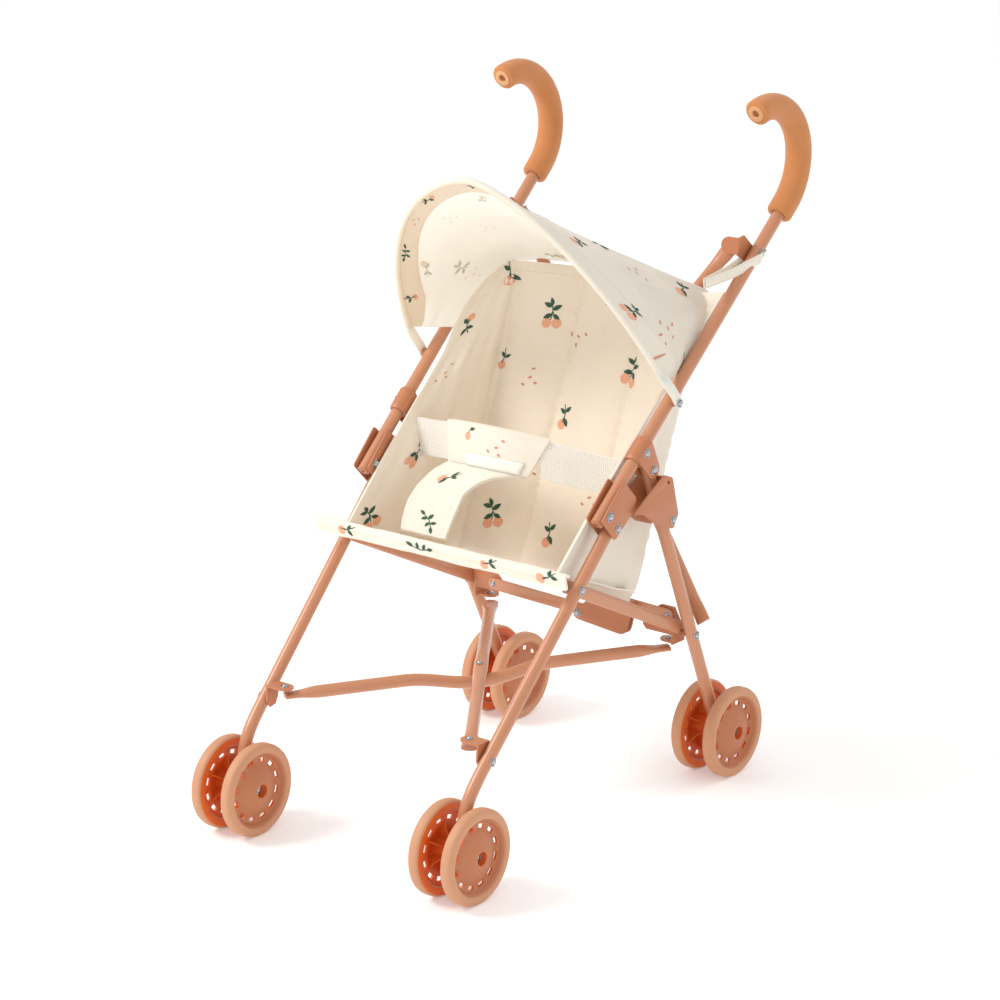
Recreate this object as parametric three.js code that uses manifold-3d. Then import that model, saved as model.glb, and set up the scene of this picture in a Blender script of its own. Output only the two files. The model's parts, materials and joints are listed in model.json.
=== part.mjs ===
// Doll stroller with an umbrella-folding steel tube frame, eight wheels, a sling seat and a sun hood.
// Millimetres, +Z up. The front wheels point to -Y, and "left" is the -X side.
// Both side frames lie in planes that lean outwards a little, so most pieces are drawn in a side view
// (y, z) with an offset measured outwards from that plane.
import * as THREE from "three";
import { mergeVertices } from "three/addons/utils/BufferGeometryUtils.js";
import Module from "manifold-3d";

// ---------------------------------------------------------------- driving dimensions

const SIDE_X = 106; // half width of the frame at floor level
const SIDE_LEAN = 0.031; // outward lean of each side frame, per unit of height
const CENTRE_Y = 24.6; // the middle of the bounding box, front to back
const TUBE_R = 5;
const TUBE_BORE = 4.1;
const TUBE_SIDES = 12;
const BORE_SIDES = 6;
const GRIP_R = 10.5;
const RUNNING_GAP = 0.3;
const BORE_OVER_TUBE = 5.6; // corner radius of a bore that clears the tube all round
const PIN_R = 1.9;
const PIN_HOLE_R = 2.2;
const SHEET = 1.2; // thickness of the pressed brackets

const HANDLE_FOOT = [-9, 251.3];
const HANDLE_DEG = 41.33; // slope of the handle tube
const HANDLE_STRAIGHT = 311.5;
const HOOK_R = 46; // bend radius of the handle's hook
const HOOK_SWEEP = 159;
const GRIP_LEAD = 11.7; // straight tube covered by the grip below the hook

const FOLD_HINGE = [-2.6, 256.9]; // handle tube to fold bracket
const REAR_HINGE = [52.8, 280.8]; // sleeve to rear leg
const LOCK_PIVOT = [76, 236];
const RAIL_FRONT = [-30.5, 205.2];
const RAIL_REAR = [116, 134];
const FRONT_AXLE = [-165, 36.8];
const REAR_AXLE = [165, 36.8];
const HOOD_PIVOT = [79, 328];

const WHEEL_R = 36.8;
const WHEEL_OFFSET = 15.1; // wheel centre from the middle of its leg
const WHEEL_SEGMENTS = 20;
const TREAD_R = WHEEL_R / Math.cos(Math.PI / WHEEL_SEGMENTS); // corners, so that the flats reach the floor
const AXLE_R = 2.4;
const AXLE_HALF = 21.4;

const FRONT_EAR = [90.4, -132]; // x, y of the front pivot of a lower cross bar
const REAR_EAR = [89.4, 121.5];
const FRONT_EAR_Z = 110;
const REAR_EAR_Z = 119.4;
const EAR_R = 6.8;
const LOWER_BAR_Z = [104.2, 112.9];
const BACK_BAR_TOP = [104, 178, 430];
const BACK_BAR_FOOT = [116, 131, 137];

const BOW_TILT_DEG = 120; // plane of the hood's bow, measured from +Y
const BOW_HALF_WIDTH = 125.6;
const BOW_HEIGHT = 200.4;
const BOW_THICKNESS = 1.6;
const BOW_DEPTH = 4;
const HOOD_REAR_DEG = 43;
const CLOTH = 0.8;

// ---------------------------------------------------------------- materials

const finish = (color, roughness, metalness) =>
  new THREE.MeshStandardMaterial({ color, roughness, metalness });
const PAINT = finish("#c8895f", 0.42, 0.1);
const FOAM = finish("#c8834b", 0.85, 0);
const PLUG = finish("#d99c66", 0.5, 0);
const TYRE = finish("#cd9673", 0.55, 0);
const STEEL = finish("#c9c9cc", 0.25, 1);
const COTTON = finish("#ebe1cd", 0.9, 0);
const WEBBING = finish("#efe9dc", 0.95, 0);
const STAY = finish("#ece7da", 0.4, 0);

// ---------------------------------------------------------------- solids

const wasm = await Module();
wasm.setup();

function toSolid(geometry) {
  const plain = geometry.clone();
  plain.deleteAttribute("normal");
  plain.deleteAttribute("uv");
  const merged = mergeVertices(plain, 1e-4);
  return new wasm.Manifold(
    new wasm.Mesh({
      numProp: 3,
      vertProperties: new Float32Array(merged.attributes.position.array),
      triVerts: new Uint32Array(merged.index.array),
    }),
  );
}

function toGeometry(solid) {
  const mesh = solid.getMesh();
  const geometry = new THREE.BufferGeometry();
  geometry.setAttribute("position", new THREE.BufferAttribute(mesh.vertProperties, 3));
  geometry.setIndex(new THREE.BufferAttribute(mesh.triVerts, 1));
  return geometry;
}

const join = (first, ...others) =>
  toGeometry(others.reduce((body, piece) => body.add(toSolid(piece)), toSolid(first)));

const cut = (blank, ...tools) =>
  toGeometry(tools.reduce((body, tool) => body.subtract(toSolid(tool)), toSolid(blank)));

// ---------------------------------------------------------------- side view helpers

const slope = THREE.MathUtils.degToRad(HANDLE_DEG);
const planeX = (z) => SIDE_X + SIDE_LEAN * z;
const onSide = (side, [y, z], out = 0) => new THREE.Vector3(side * (planeX(z) + out), y, z);

// A point given along the handle tube (s, from its lower end) and behind it (n).
function alongHandle(s, n = 0) {
  const y = HANDLE_FOOT[0] + s * Math.cos(slope) + n * Math.sin(slope);
  const z = HANDLE_FOOT[1] + s * Math.sin(slope) - n * Math.cos(slope);
  return [y, z];
}

function outline(points) {
  return new THREE.Shape(points.map(([a, b]) => new THREE.Vector2(a, b)));
}

function disc([a, b], radius) {
  const shape = new THREE.Shape();
  shape.absarc(a, b, radius, 0, Math.PI * 2);
  return shape;
}

function corners(radius, count) {
  const angles = Array.from({ length: count }, (_, i) => (2 * Math.PI * i) / count);
  return angles.map((angle) => new THREE.Vector2(radius * Math.cos(angle), radius * Math.sin(angle)));
}

function ring(outer, inner, sides, boreSides) {
  const shape = new THREE.Shape(corners(outer, sides));
  shape.holes.push(new THREE.Path(corners(inner, boreSides)));
  return shape;
}

// A plate drawn in the side view, between two offsets from the leaning plane.
function sidePlate(side, shape, from, to, curveSegments = 8) {
  const plate = new THREE.ExtrudeGeometry(shape, { depth: 1, bevelEnabled: false, curveSegments });
  const points = plate.attributes.position;
  for (let i = 0; i < points.count; i++) {
    const [y, z, along] = [points.getX(i), points.getY(i), points.getZ(i)];
    const share = side > 0 ? along : 1 - along;
    points.setXYZ(i, side * (planeX(z) + from + share * (to - from)), y, z);
  }
  return plate;
}

const bothCheeks = (side, shape, inner, outer) => [
  sidePlate(side, shape, inner, outer),
  sidePlate(side, shape, -outer, -inner),
];

const crossHole = (side, centre, radius = PIN_HOLE_R) =>
  sidePlate(side, disc(centre, radius), -30, 30, 5);

// A curve that passes straight from point to point, so that a long run costs one step.
class StationPath extends THREE.Curve {
  constructor(stations) {
    super();
    this.stations = stations;
  }

  getPoint(t) {
    const last = this.stations.length - 2;
    const place = t * (last + 1);
    const i = Math.min(Math.floor(place), last);
    return new THREE.Vector3().lerpVectors(this.stations[i], this.stations[i + 1], place - i);
  }

  getUtoTmapping(u) {
    return u;
  }
}

function tube(stations, outer = TUBE_R, inner = TUBE_BORE, sides = TUBE_SIDES, boreSides = BORE_SIDES) {
  return new THREE.ExtrudeGeometry(ring(outer, inner, sides, boreSides), {
    steps: stations.length - 1,
    extrudePath: new StationPath(stations),
  });
}

// A tube whose section is pressed flat in places. profile(s) gives its width, thickness and rise.
function pressedTube(start, end, thinAxis, steps, profile) {
  const run = new THREE.Vector3().subVectors(end, start);
  const length = run.length();
  const along = run.normalize();
  const wide = new THREE.Vector3().crossVectors(thinAxis, along).normalize();
  const thin = new THREE.Vector3().crossVectors(along, wide);
  const section = ring(TUBE_R, TUBE_BORE, TUBE_SIDES, BORE_SIDES);
  const geometry = new THREE.ExtrudeGeometry(section, { depth: length, steps, bevelEnabled: false });
  const points = geometry.attributes.position;
  for (let i = 0; i < points.count; i++) {
    const s = points.getZ(i);
    const { width, thickness, rise } = profile(s, length);
    points.setX(i, points.getX(i) * width);
    points.setY(i, points.getY(i) * thickness + rise);
  }
  const placed = new THREE.Matrix4().makeBasis(wide, thin, along).setPosition(start);
  return geometry.applyMatrix4(placed);
}

const smooth = (value) => THREE.MathUtils.smoothstep(value, 0, 1);

// Pressed flat over `flat` at each end, round again after another 18.
function flatEnds(s, length, flat, thickness, width) {
  const roundness = smooth((Math.min(s, length - s) - flat) / 18);
  return {
    width: THREE.MathUtils.lerp(width, 1, roundness),
    thickness: THREE.MathUtils.lerp(thickness, 1, roundness),
  };
}

// A cloth panel: surface(u, v) with u and v from 0 to 1, given a thickness along its normal.
function panel(surface, columns, rows, thickness) {
  const box = new THREE.BoxGeometry(1, 1, 1, columns, rows, 1);
  const points = box.attributes.position;
  const nudge = 1e-3;
  for (let i = 0; i < points.count; i++) {
    const u = THREE.MathUtils.clamp(points.getX(i) + 0.5, 0, 1);
    const v = THREE.MathUtils.clamp(points.getY(i) + 0.5, 0, 1);
    const du = surface(Math.min(u + nudge, 1), v).sub(surface(Math.max(u - nudge, 0), v));
    const dv = surface(u, Math.min(v + nudge, 1)).sub(surface(u, Math.max(v - nudge, 0)));
    const normal = du.cross(dv).normalize();
    const place = surface(u, v).addScaledVector(normal, points.getZ(i) * thickness);
    points.setXYZ(i, place.x, place.y, place.z);
  }
  return box;
}

function turned(profile, segments, firstAngle = 0) {
  const points = profile.map(([radius, along]) => new THREE.Vector2(radius, along));
  return new THREE.LatheGeometry(points, segments, firstAngle);
}

// A headed pin along X through a side frame.
function pin(shank, headRadius, headThickness, underHead) {
  const tip = underHead + headThickness;
  return turned(
    [
      [0, -tip],
      [headRadius * 0.8, -tip],
      [headRadius, -underHead],
      [shank, -underHead],
      [shank, underHead],
      [headRadius, underHead],
      [headRadius * 0.8, tip],
      [0, tip],
    ],
    12,
  );
}

const stroller = new THREE.Group();
stroller.position.y = -CENTRE_Y;

function add(name, geometry, material, position = null, turn = null) {
  const mesh = new THREE.Mesh(geometry, material);
  mesh.name = name;
  if (position) mesh.position.copy(position);
  if (turn) mesh.rotation.set(...turn);
  stroller.add(mesh);
}

// Turns a lathe's axis from +Y to +X, or to -X.
const ALONG_X = [0, 0, -Math.PI / 2];
const ALONG_MINUS_X = [0, 0, Math.PI / 2];

// ---------------------------------------------------------------- handle, grip and plugs

const hookStart = alongHandle(HANDLE_STRAIGHT);
const HOOK_CENTRE = [
  hookStart[0] - HOOK_R * Math.sin(slope),
  hookStart[1] + HOOK_R * Math.cos(slope),
];

function hookPoint(side, degrees) {
  const angle = slope - Math.PI / 2 + THREE.MathUtils.degToRad(degrees);
  const y = HOOK_CENTRE[0] + HOOK_R * Math.cos(angle);
  const z = HOOK_CENTRE[1] + HOOK_R * Math.sin(angle);
  return onSide(side, [y, z]);
}

function hookStations(side, from, to, steps) {
  return Array.from({ length: steps + 1 }, (_, i) => hookPoint(side, from + ((to - from) * i) / steps));
}

function makeHandle(side, name) {
  const tubeEnd = HOOK_SWEEP - 4;
  const handle = tube([onSide(side, alongHandle(0)), ...hookStations(side, 0, tubeEnd, 13)]);
  add(`${name}_handle_tube`, cut(handle, crossHole(side, FOLD_HINGE)), PAINT);

  const lead = onSide(side, alongHandle(HANDLE_STRAIGHT - GRIP_LEAD));
  const gripLine = [lead, ...hookStations(side, 0, HOOK_SWEEP, 14)];
  add(`${name}_foam_grip`, tube(gripLine, GRIP_R, BORE_OVER_TUBE, 16, 12), FOAM);

  const plugLine = hookStations(side, tubeEnd + 1.5, HOOK_SWEEP, 1);
  add(`${name}_grip_plug`, tube(plugLine, TUBE_R, 2.2, 10, 8), PLUG);

  const endPlug = [onSide(side, alongHandle(0.3)), onSide(side, alongHandle(6))];
  add(`${name}_tube_end_plug`, tube(endPlug, 3.2, 1.5, 8, 6), PAINT);
}

// ---------------------------------------------------------------- sleeve, brackets and pins

const CHEEK = [5.5, 7.1];
const BRACKET_CHEEK = [6.4, 6.4 + SHEET];
const LOCK_CHEEK = [9.5, 9.5 + SHEET];

function makeSleeve(side, name) {
  const collar = [onSide(side, alongHandle(58)), onSide(side, alongHandle(78))];
  const arm = outline([[58.5, 0], [77.5, 0], [72.6, 19.5], [59.2, 19.5]].map((p) => alongHandle(...p)));
  const sleeve = join(
    tube(collar, CHEEK[1], BORE_OVER_TUBE, 14, 12),
    ...bothCheeks(side, arm, ...CHEEK),
    ...bothCheeks(side, disc(REAR_HINGE, 6.8), ...CHEEK),
  );
  add(`${name}_sleeve`, cut(sleeve, crossHole(side, REAR_HINGE)), PAINT);
}

function makeFoldBracket(side, name) {
  const cheek = [[36.7, -7.4], [38.1, 17.3], [25.1, 22], [0.5, 20.4], [-0.4, -5.5]];
  const web = [[38.1, 17.3], [25.1, 22], [24.6, 20.7], [37.6, 16]];
  const bracket = join(
    sidePlate(side, outline(web.map((p) => alongHandle(...p))), -6.5, 6.5),
    ...bothCheeks(side, outline(cheek.map((p) => alongHandle(...p))), ...BRACKET_CHEEK),
  );
  add(`${name}_fold_bracket`, cut(bracket, crossHole(side, FOLD_HINGE)), PAINT);
}

function makeLockChannel(side, name) {
  const cheek = outline([
    [61.3, 275.4], [72.9, 270.9], [82.6, 239], [76.5, 228.5], [55, 236.6], [37.1, 249.2], [22.9, 252.7],
  ]);
  const web = outline([[72.9, 270.9], [82.6, 239], [81.3, 238.6], [71.6, 270.5]]);
  const channel = join(
    sidePlate(side, web, -LOCK_CHEEK[0] - 0.1, LOCK_CHEEK[0] + 0.1),
    ...bothCheeks(side, cheek, ...LOCK_CHEEK),
  );
  const eye = crossHole(side, [67.6, 268], 1.6);
  add(`${name}_lock_channel`, cut(channel, crossHole(side, LOCK_PIVOT), eye), PAINT);
}

function makePins(side, name) {
  add(`${name}_fold_pin`, pin(PIN_R, 4.2, 1.3, 7.9), STEEL, onSide(side, FOLD_HINGE), ALONG_X);
  add(`${name}_rear_leg_pin`, pin(PIN_R, 4, 1.3, 7.4), STEEL, onSide(side, REAR_HINGE), ALONG_X);
}

// ---------------------------------------------------------------- legs, axles and wheels

const LEG_PAST_AXLE = 7;

function beyond([y0, z0], [y1, z1], extra) {
  const length = Math.hypot(y1 - y0, z1 - z0);
  return [y1 + ((y1 - y0) / length) * extra, z1 + ((z1 - z0) / length) * extra];
}

function makeLegs(side, name) {
  const bend = [[-135, 98.8], [-141.6, 92.2], [-147.6, 85.6], [-152.8, 79.2], [-156.8, 73], [-159.5, 67]];
  const frontLine = [[13.7, 250.4], ...bend, beyond(bend.at(-1), FRONT_AXLE, LEG_PAST_AXLE)];
  const front = tube(frontLine.map((p) => onSide(side, p)));
  add(`${name}_front_leg`, cut(front, crossHole(side, FRONT_AXLE, AXLE_R + RUNNING_GAP)), PAINT);

  const rearTop = beyond(REAR_AXLE, REAR_HINGE, 6);
  const rearLine = [rearTop, beyond(REAR_HINGE, REAR_AXLE, LEG_PAST_AXLE)];
  const rear = tube(rearLine.map((p) => onSide(side, p)));
  const holes = [crossHole(side, REAR_HINGE), crossHole(side, REAR_AXLE, AXLE_R + RUNNING_GAP)];
  add(`${name}_rear_leg`, cut(rear, ...holes), PAINT);
}

// Radius and place along the axle of the wheel's section; the far side faces away from the leg.
const WHEEL_SECTION = [
  [2.8, -9], [8, -9], [8.4, -3], [26.5, -2.4], [28.5, -5], [TREAD_R, -4.6],
  [TREAD_R, 4.6], [29.6, 5], [28.4, 1], [23.3, 0.4], [8.6, 6.2], [2.8, 6.2], [2.8, -9],
];

function makeWheelPair(side, name, axle) {
  const centre = onSide(side, axle);
  const ends = [[0, -AXLE_HALF], [AXLE_R, -AXLE_HALF], [AXLE_R, AXLE_HALF], [0, AXLE_HALF]];
  add(`${name}_axle`, turned(ends, 12), STEEL, centre, ALONG_X);
  for (const [place, towards] of [["inner", -side], ["outer", side]]) {
    const middle = centre.clone().setX(centre.x + towards * WHEEL_OFFSET);
    const wheel = turned(WHEEL_SECTION, WHEEL_SEGMENTS, Math.PI / WHEEL_SEGMENTS);
    add(`${name}_${place}_wheel`, wheel, TYRE, middle, towards > 0 ? ALONG_X : ALONG_MINUS_X);
  }
}

// ---------------------------------------------------------------- cross bars and their brackets

// A flat ear seen from above: a strip from the side plate inwards, round at its pivot.
function ear(side, [x, y], outerX, z) {
  const shape = new THREE.Shape();
  shape.moveTo(side * outerX, y - EAR_R);
  shape.lineTo(side * x, y - EAR_R);
  shape.absarc(side * x, y, EAR_R, -Math.PI / 2, Math.PI / 2, side > 0);
  shape.lineTo(side * outerX, y + EAR_R);
  const plate = new THREE.ExtrudeGeometry(shape, { depth: 1.6, bevelEnabled: false });
  return plate.translate(0, 0, z);
}

function makeFrontBarBracket(side, name) {
  const back = outline([
    [-138.8, 111.6], [-125.2, 111.6], [-126.5, 101], [-129.8, 94.6], [-136, 93.4], [-139.4, 98.4],
  ]);
  const plate = sidePlate(side, back, -7, -5.4);
  add(`${name}_front_bar_bracket`, join(plate, ear(side, FRONT_EAR, 103.4, FRONT_EAR_Z)), PAINT);
}

function makeRearBarBracket(side, name) {
  const upright = outline([
    [112.2, 119.4], [128.3, 119.4], [129.4, 130.8], [122, 138], [113.8, 151], [112.2, 151],
  ]);
  const lug = outline([
    [side * 98.9, 127.5], [side * 74, 127.5], [side * 70.8, 131], [side * 70.8, 138], [side * 74, 141.3],
    [side * 88, 151], [side * 98.9, 151],
  ]);
  const lugPlate = new THREE.ExtrudeGeometry(lug, { depth: 1.6, bevelEnabled: false });
  lugPlate.rotateX(Math.PI / 2).translate(0, 113.8, 0);
  const bracket = join(
    sidePlate(side, upright, -11.8, -10.1),
    ear(side, REAR_EAR, 99, REAR_EAR_Z),
    lugPlate,
    sidePlate(side, disc([123.5, 127.7], 2.5), -10.6, -5.4),
  );
  add(`${name}_rear_bar_bracket`, bracket, PAINT);
}

function makeTopBarBracket(side, name) {
  const back = outline([
    [171, 424], [171.6, 437.6], [179, 438.6], [198.5, 421.6], [193, 415.4], [183, 416.6],
  ]);
  const [x, y, z] = BACK_BAR_TOP;
  const strip = new THREE.Shape();
  strip.moveTo(side * 9.4, -6.5);
  strip.lineTo(0, -6.5);
  strip.absarc(0, 0, 6.5, -Math.PI / 2, Math.PI / 2, side > 0);
  strip.lineTo(side * 9.4, 6.5);
  const pivotEar = new THREE.ExtrudeGeometry(strip, { depth: 1.6, bevelEnabled: false });
  pivotEar.translate(0, 0, 4.9).rotateX(THREE.MathUtils.degToRad(80.9)).translate(side * x, y, z);
  add(`${name}_top_bar_bracket`, join(sidePlate(side, back, -7, -5.4), pivotEar), PAINT);
}

const CRANK_LENGTH = 62;
const hump = (s, length) => 0.5 + 0.5 * Math.cos(Math.min(Math.abs(s - length / 2) / CRANK_LENGTH, 1) * Math.PI);

function makeCrossBars(side, name) {
  const front = new THREE.Vector3(side * FRONT_EAR[0], FRONT_EAR[1], LOWER_BAR_Z[0]);
  const rear = new THREE.Vector3(-side * REAR_EAR[0], REAR_EAR[1], LOWER_BAR_Z[1]);
  const lowerRise = side < 0 ? -8.6 : 3.6;
  const pressed = side < 0 ? 0 : 0.42; // the upper bar is pressed flat where they cross
  const lower = pressedTube(front, rear, new THREE.Vector3(0, 0, 1), 22, (s, length) => {
    const { width, thickness } = flatEnds(s, length, 8, 0.48, 1.3);
    const middle = hump(s, length);
    return { width, thickness: thickness - pressed * middle ** 3, rise: lowerRise * middle };
  });
  add(`${name}_lower_cross_bar`, lower, PAINT);

  const top = new THREE.Vector3(side * BACK_BAR_TOP[0], BACK_BAR_TOP[1], BACK_BAR_TOP[2]);
  const foot = new THREE.Vector3(-side * BACK_BAR_FOOT[0], BACK_BAR_FOOT[1], BACK_BAR_FOOT[2]);
  const crossNormal = new THREE.Vector3(0, 0.9874, -0.1584);
  const backBar = pressedTube(top, foot, crossNormal, 18, (s, length) => {
    const { width, thickness } = flatEnds(s, length, 8, 0.42, 1.3);
    return { width, thickness, rise: side * 6.4 * hump(s, length) };
  });
  add(`${name}_back_cross_bar`, backBar, PAINT);
}

function makeSideRail(side, name) {
  const start = onSide(side, beyond(RAIL_REAR, RAIL_FRONT, 5.5), -8);
  const end = onSide(side, beyond(RAIL_FRONT, RAIL_REAR, 2), -8);
  const rail = pressedTube(start, end, new THREE.Vector3(1, 0, 0), 10, (s, length) => {
    const { thickness } = flatEnds(s, length, 12, 0.3, 1);
    return { width: 1.05, thickness: Math.min(thickness, 0.54), rise: 0 };
  });
  add(`${name}_side_rail`, rail, PAINT);
}

// ---------------------------------------------------------------- rear spreader with its foot lever

const SPREADER_JOINT = [14, 131.3];
const LEFT_SPREADER_PIVOT = [-77.4, 134.4];
const RIGHT_SPREADER_PIVOT = [96, 144.5];
const LINK_Y = [109.3, 111.3];
const LEVER_Y = [101.6, 109];

// A link seen from the front: two round ends joined by a straight strip.
function link([x0, z0], [x1, z1], radius) {
  const angle = Math.atan2(z1 - z0, x1 - x0);
  const shape = new THREE.Shape();
  shape.absarc(x1, z1, radius, angle - Math.PI / 2, angle + Math.PI / 2);
  shape.absarc(x0, z0, radius, angle + Math.PI / 2, angle + (Math.PI * 3) / 2);
  return shape;
}

function frontPlate(shape, [near, far]) {
  const plate = new THREE.ExtrudeGeometry(shape, { depth: far - near, bevelEnabled: false, curveSegments: 6 });
  return plate.rotateX(Math.PI / 2).translate(0, far, 0);
}

function makeSpreader() {
  add("left_spreader_link", frontPlate(link(LEFT_SPREADER_PIVOT, SPREADER_JOINT, 5), LINK_Y), PAINT);
  add("right_spreader_link", frontPlate(link([48, 146], RIGHT_SPREADER_PIVOT, 4.6), LINK_Y), PAINT);
  const side = outline([
    [9.4, 132], [10.4, 127.2], [14, 125.6], [56, 121.6], [61, 123.4], [63, 128], [66.5, 143.5],
    [66, 150.6], [55, 150.6], [52, 153.4], [33, 153.4], [30.5, 149.6], [15, 136.6],
  ]);
  add("spreader_lever", frontPlate(side, LEVER_Y), PAINT);
}

// ---------------------------------------------------------------- sun hood

const bowCurve = (angle, halfWidth, height) => {
  const x = Math.sign(Math.cos(angle)) * halfWidth * Math.abs(Math.cos(angle)) ** 1.22;
  return [x, height * Math.abs(Math.sin(angle)) ** 1.22];
};

// A point of the hood in a plane that holds the pivot axis: x, distance from the axis, angle.
function aboutPivot(x, reach, degrees, back = 0) {
  const angle = THREE.MathUtils.degToRad(degrees);
  const y = HOOD_PIVOT[0] + reach * Math.cos(angle) + back * Math.sin(angle);
  const z = HOOD_PIVOT[1] + reach * Math.sin(angle) - back * Math.cos(angle);
  return new THREE.Vector3(x, y, z);
}

function makeHoodBow() {
  const steps = 30;
  const foot = -4;
  const arch = (inset) =>
    Array.from({ length: steps + 1 }, (_, i) =>
      bowCurve((Math.PI * i) / steps, BOW_HALF_WIDTH - inset, BOW_HEIGHT - inset),
    );
  const outer = [[BOW_HALF_WIDTH, foot], ...arch(0), [-BOW_HALF_WIDTH, foot]];
  const inside = BOW_HALF_WIDTH - BOW_THICKNESS;
  const inner = [[-inside, foot], ...arch(BOW_THICKNESS).reverse(), [inside, foot]];
  const band = new THREE.ExtrudeGeometry(outline([...outer, ...inner]), {
    depth: BOW_DEPTH,
    bevelEnabled: false,
  });
  band.translate(0, 0, -BOW_DEPTH / 2);
  const bore = new THREE.CylinderGeometry(1.5, 1.5, 300, 10).rotateZ(Math.PI / 2);
  const tilt = [THREE.MathUtils.degToRad(BOW_TILT_DEG), 0, 0];
  add("hood_bow", cut(band, bore), STAY, new THREE.Vector3(0, ...HOOD_PIVOT), tilt);
}

function makeHoodClip(side, name) {
  const s = (HOOD_PIVOT[0] - HANDLE_FOOT[0]) / Math.cos(slope);
  const collar = [onSide(side, alongHandle(s - 6)), onSide(side, alongHandle(s + 6))];
  const clip = join(
    tube(collar, 7.1, BORE_OVER_TUBE, 14, 12),
    sidePlate(side, disc(HOOD_PIVOT, 4.4), 6, 7.4, 6),
    sidePlate(side, disc(HOOD_PIVOT, 1.1), 7, 10.6, 5),
    sidePlate(side, disc(HOOD_PIVOT, 3), 9.9, 11, 5),
  );
  add(`${name}_hood_clip`, clip, STAY);
}

// The hood's cloth, from the bow (back = 0) to its rear edge (back = 1); across runs from 0 to 1.
function hoodSurface(across, back) {
  const turn = Math.PI * across;
  const firstAngle = 0.22;
  const [bowX, bowReach] = bowCurve(firstAngle + (Math.PI - 2 * firstAngle) * across, 125.2, 200);
  const rearX = Math.sign(Math.cos(turn)) * 110.4 * Math.abs(Math.cos(turn)) ** 0.36;
  const rearReach = 27 + 90 * Math.abs(Math.sin(turn)) ** 0.5;
  const front = aboutPivot(bowX, bowReach, BOW_TILT_DEG, 3.4);
  return front.lerp(aboutPivot(rearX, rearReach, HOOD_REAR_DEG), back);
}

function makeHood() {
  makeHoodBow();
  const bands = { front: [0, 0.395], middle: [0.405, 0.695], rear: [0.705, 1] };
  for (const [name, [start, end]] of Object.entries(bands)) {
    const surface = (u, v) => hoodSurface(1 - u, start + (end - start) * v);
    add(`hood_${name}_panel`, panel(surface, 20, 3, CLOTH), COTTON);
  }
}

// ---------------------------------------------------------------- seat sling and belts

const SEAT_HALF = 88; // half width of the flat back panel
const SEAT_SIDE = [[157, 397], [31, 287], [3, 262], [-39, 224]]; // front edge of the side walls
const SEAT_BACK = [[172, 394], [146, 316], [131, 275], [90, 173]];
const SEAT_HOLLOW = 18; // how far the middle of the back panel bows out behind its sides
const SEAT_ROWS = [0, 0.46, 0.62, 1];

function alongLine(points, share) {
  const i = Math.min(SEAT_ROWS.findIndex((row) => share <= row + 1e-9) || 1, SEAT_ROWS.length - 1);
  const t = (share - SEAT_ROWS[i - 1]) / (SEAT_ROWS[i] - SEAT_ROWS[i - 1]);
  return [0, 1].map((axis) => THREE.MathUtils.lerp(points[i - 1][axis], points[i][axis], t));
}

function seatBackSurface(u, v) {
  const across = 2 * u - 1;
  const [sideY, sideZ] = alongLine(SEAT_SIDE, v);
  const [backY, backZ] = alongLine(SEAT_BACK, v);
  const clear = THREE.MathUtils.lerp(6.5, 10.8, smooth((352 - sideZ) / 25));
  const wall = smooth((Math.abs(across) - 0.55) / 0.1) * Math.max(Math.abs(across) - 0.6, 0) / 0.4;
  const flat = Math.min(Math.abs(across) / 0.6, 1);
  const x = THREE.MathUtils.lerp(flat * SEAT_HALF, planeX(sideZ) - clear, wall);
  const y = THREE.MathUtils.lerp(backY - SEAT_HOLLOW * flat ** 2, sideY, wall);
  const z = THREE.MathUtils.lerp(backZ, sideZ, wall);
  return new THREE.Vector3(Math.sign(across) * x, y, z);
}

function seatBottomSurface(u, v) {
  const across = 2 * u - 1;
  const y = THREE.MathUtils.lerp(-57, 80, v);
  const halfWidth = THREE.MathUtils.lerp(122, 99, smooth((y + 54) / 20));
  const sag = 7 * (1 - across ** 2) * Math.sin(Math.PI * v);
  const z = 224.8 - (y + 57) * 0.412 - sag;
  return new THREE.Vector3(across * halfWidth, y, z);
}

const BELT_HEIGHT = 30;
const beltRise = (x) => Math.cos((Math.PI * x) / 226) ** 2;
const beltPoint = (x, up) => new THREE.Vector3(x, 42 - 24 * beltRise(x), 271 + 12 * beltRise(x) + up);

function beltPiece(from, to, height, thickness) {
  const surface = (u, v) => beltPoint(THREE.MathUtils.lerp(from, to, u), (v - 0.5) * height);
  return panel(surface, 6, 1, thickness);
}

function makeSeat() {
  add("seat_back", panel((u, v) => seatBackSurface(1 - u, v), 20, 8, 1.4), COTTON);
  add("seat_bottom", panel((u, v) => seatBottomSurface(1 - u, v), 10, 6, 1.6), COTTON);
  add("left_lap_belt", beltPiece(-95, -59, BELT_HEIGHT, 1.6), WEBBING);
  add("right_lap_belt", beltPiece(41, 95, BELT_HEIGHT, 1.6), WEBBING);
  const stem = (u, v) => {
    const top = beltPoint(-20, -14);
    const foot = new THREE.Vector3(-18, -40, 221.5);
    const width = THREE.MathUtils.lerp(56, 36, smooth(v * 2));
    const middle = top.lerp(foot, v);
    return middle.setX(middle.x + (u - 0.5) * width);
  };
  const sleeve = beltPiece(-58.4, 40.4, 35, 4);
  add("crotch_strap", join(sleeve, panel((u, v) => stem(1 - u, v), 3, 6, 2)), COTTON);
}

// ---------------------------------------------------------------- assembly

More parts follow.
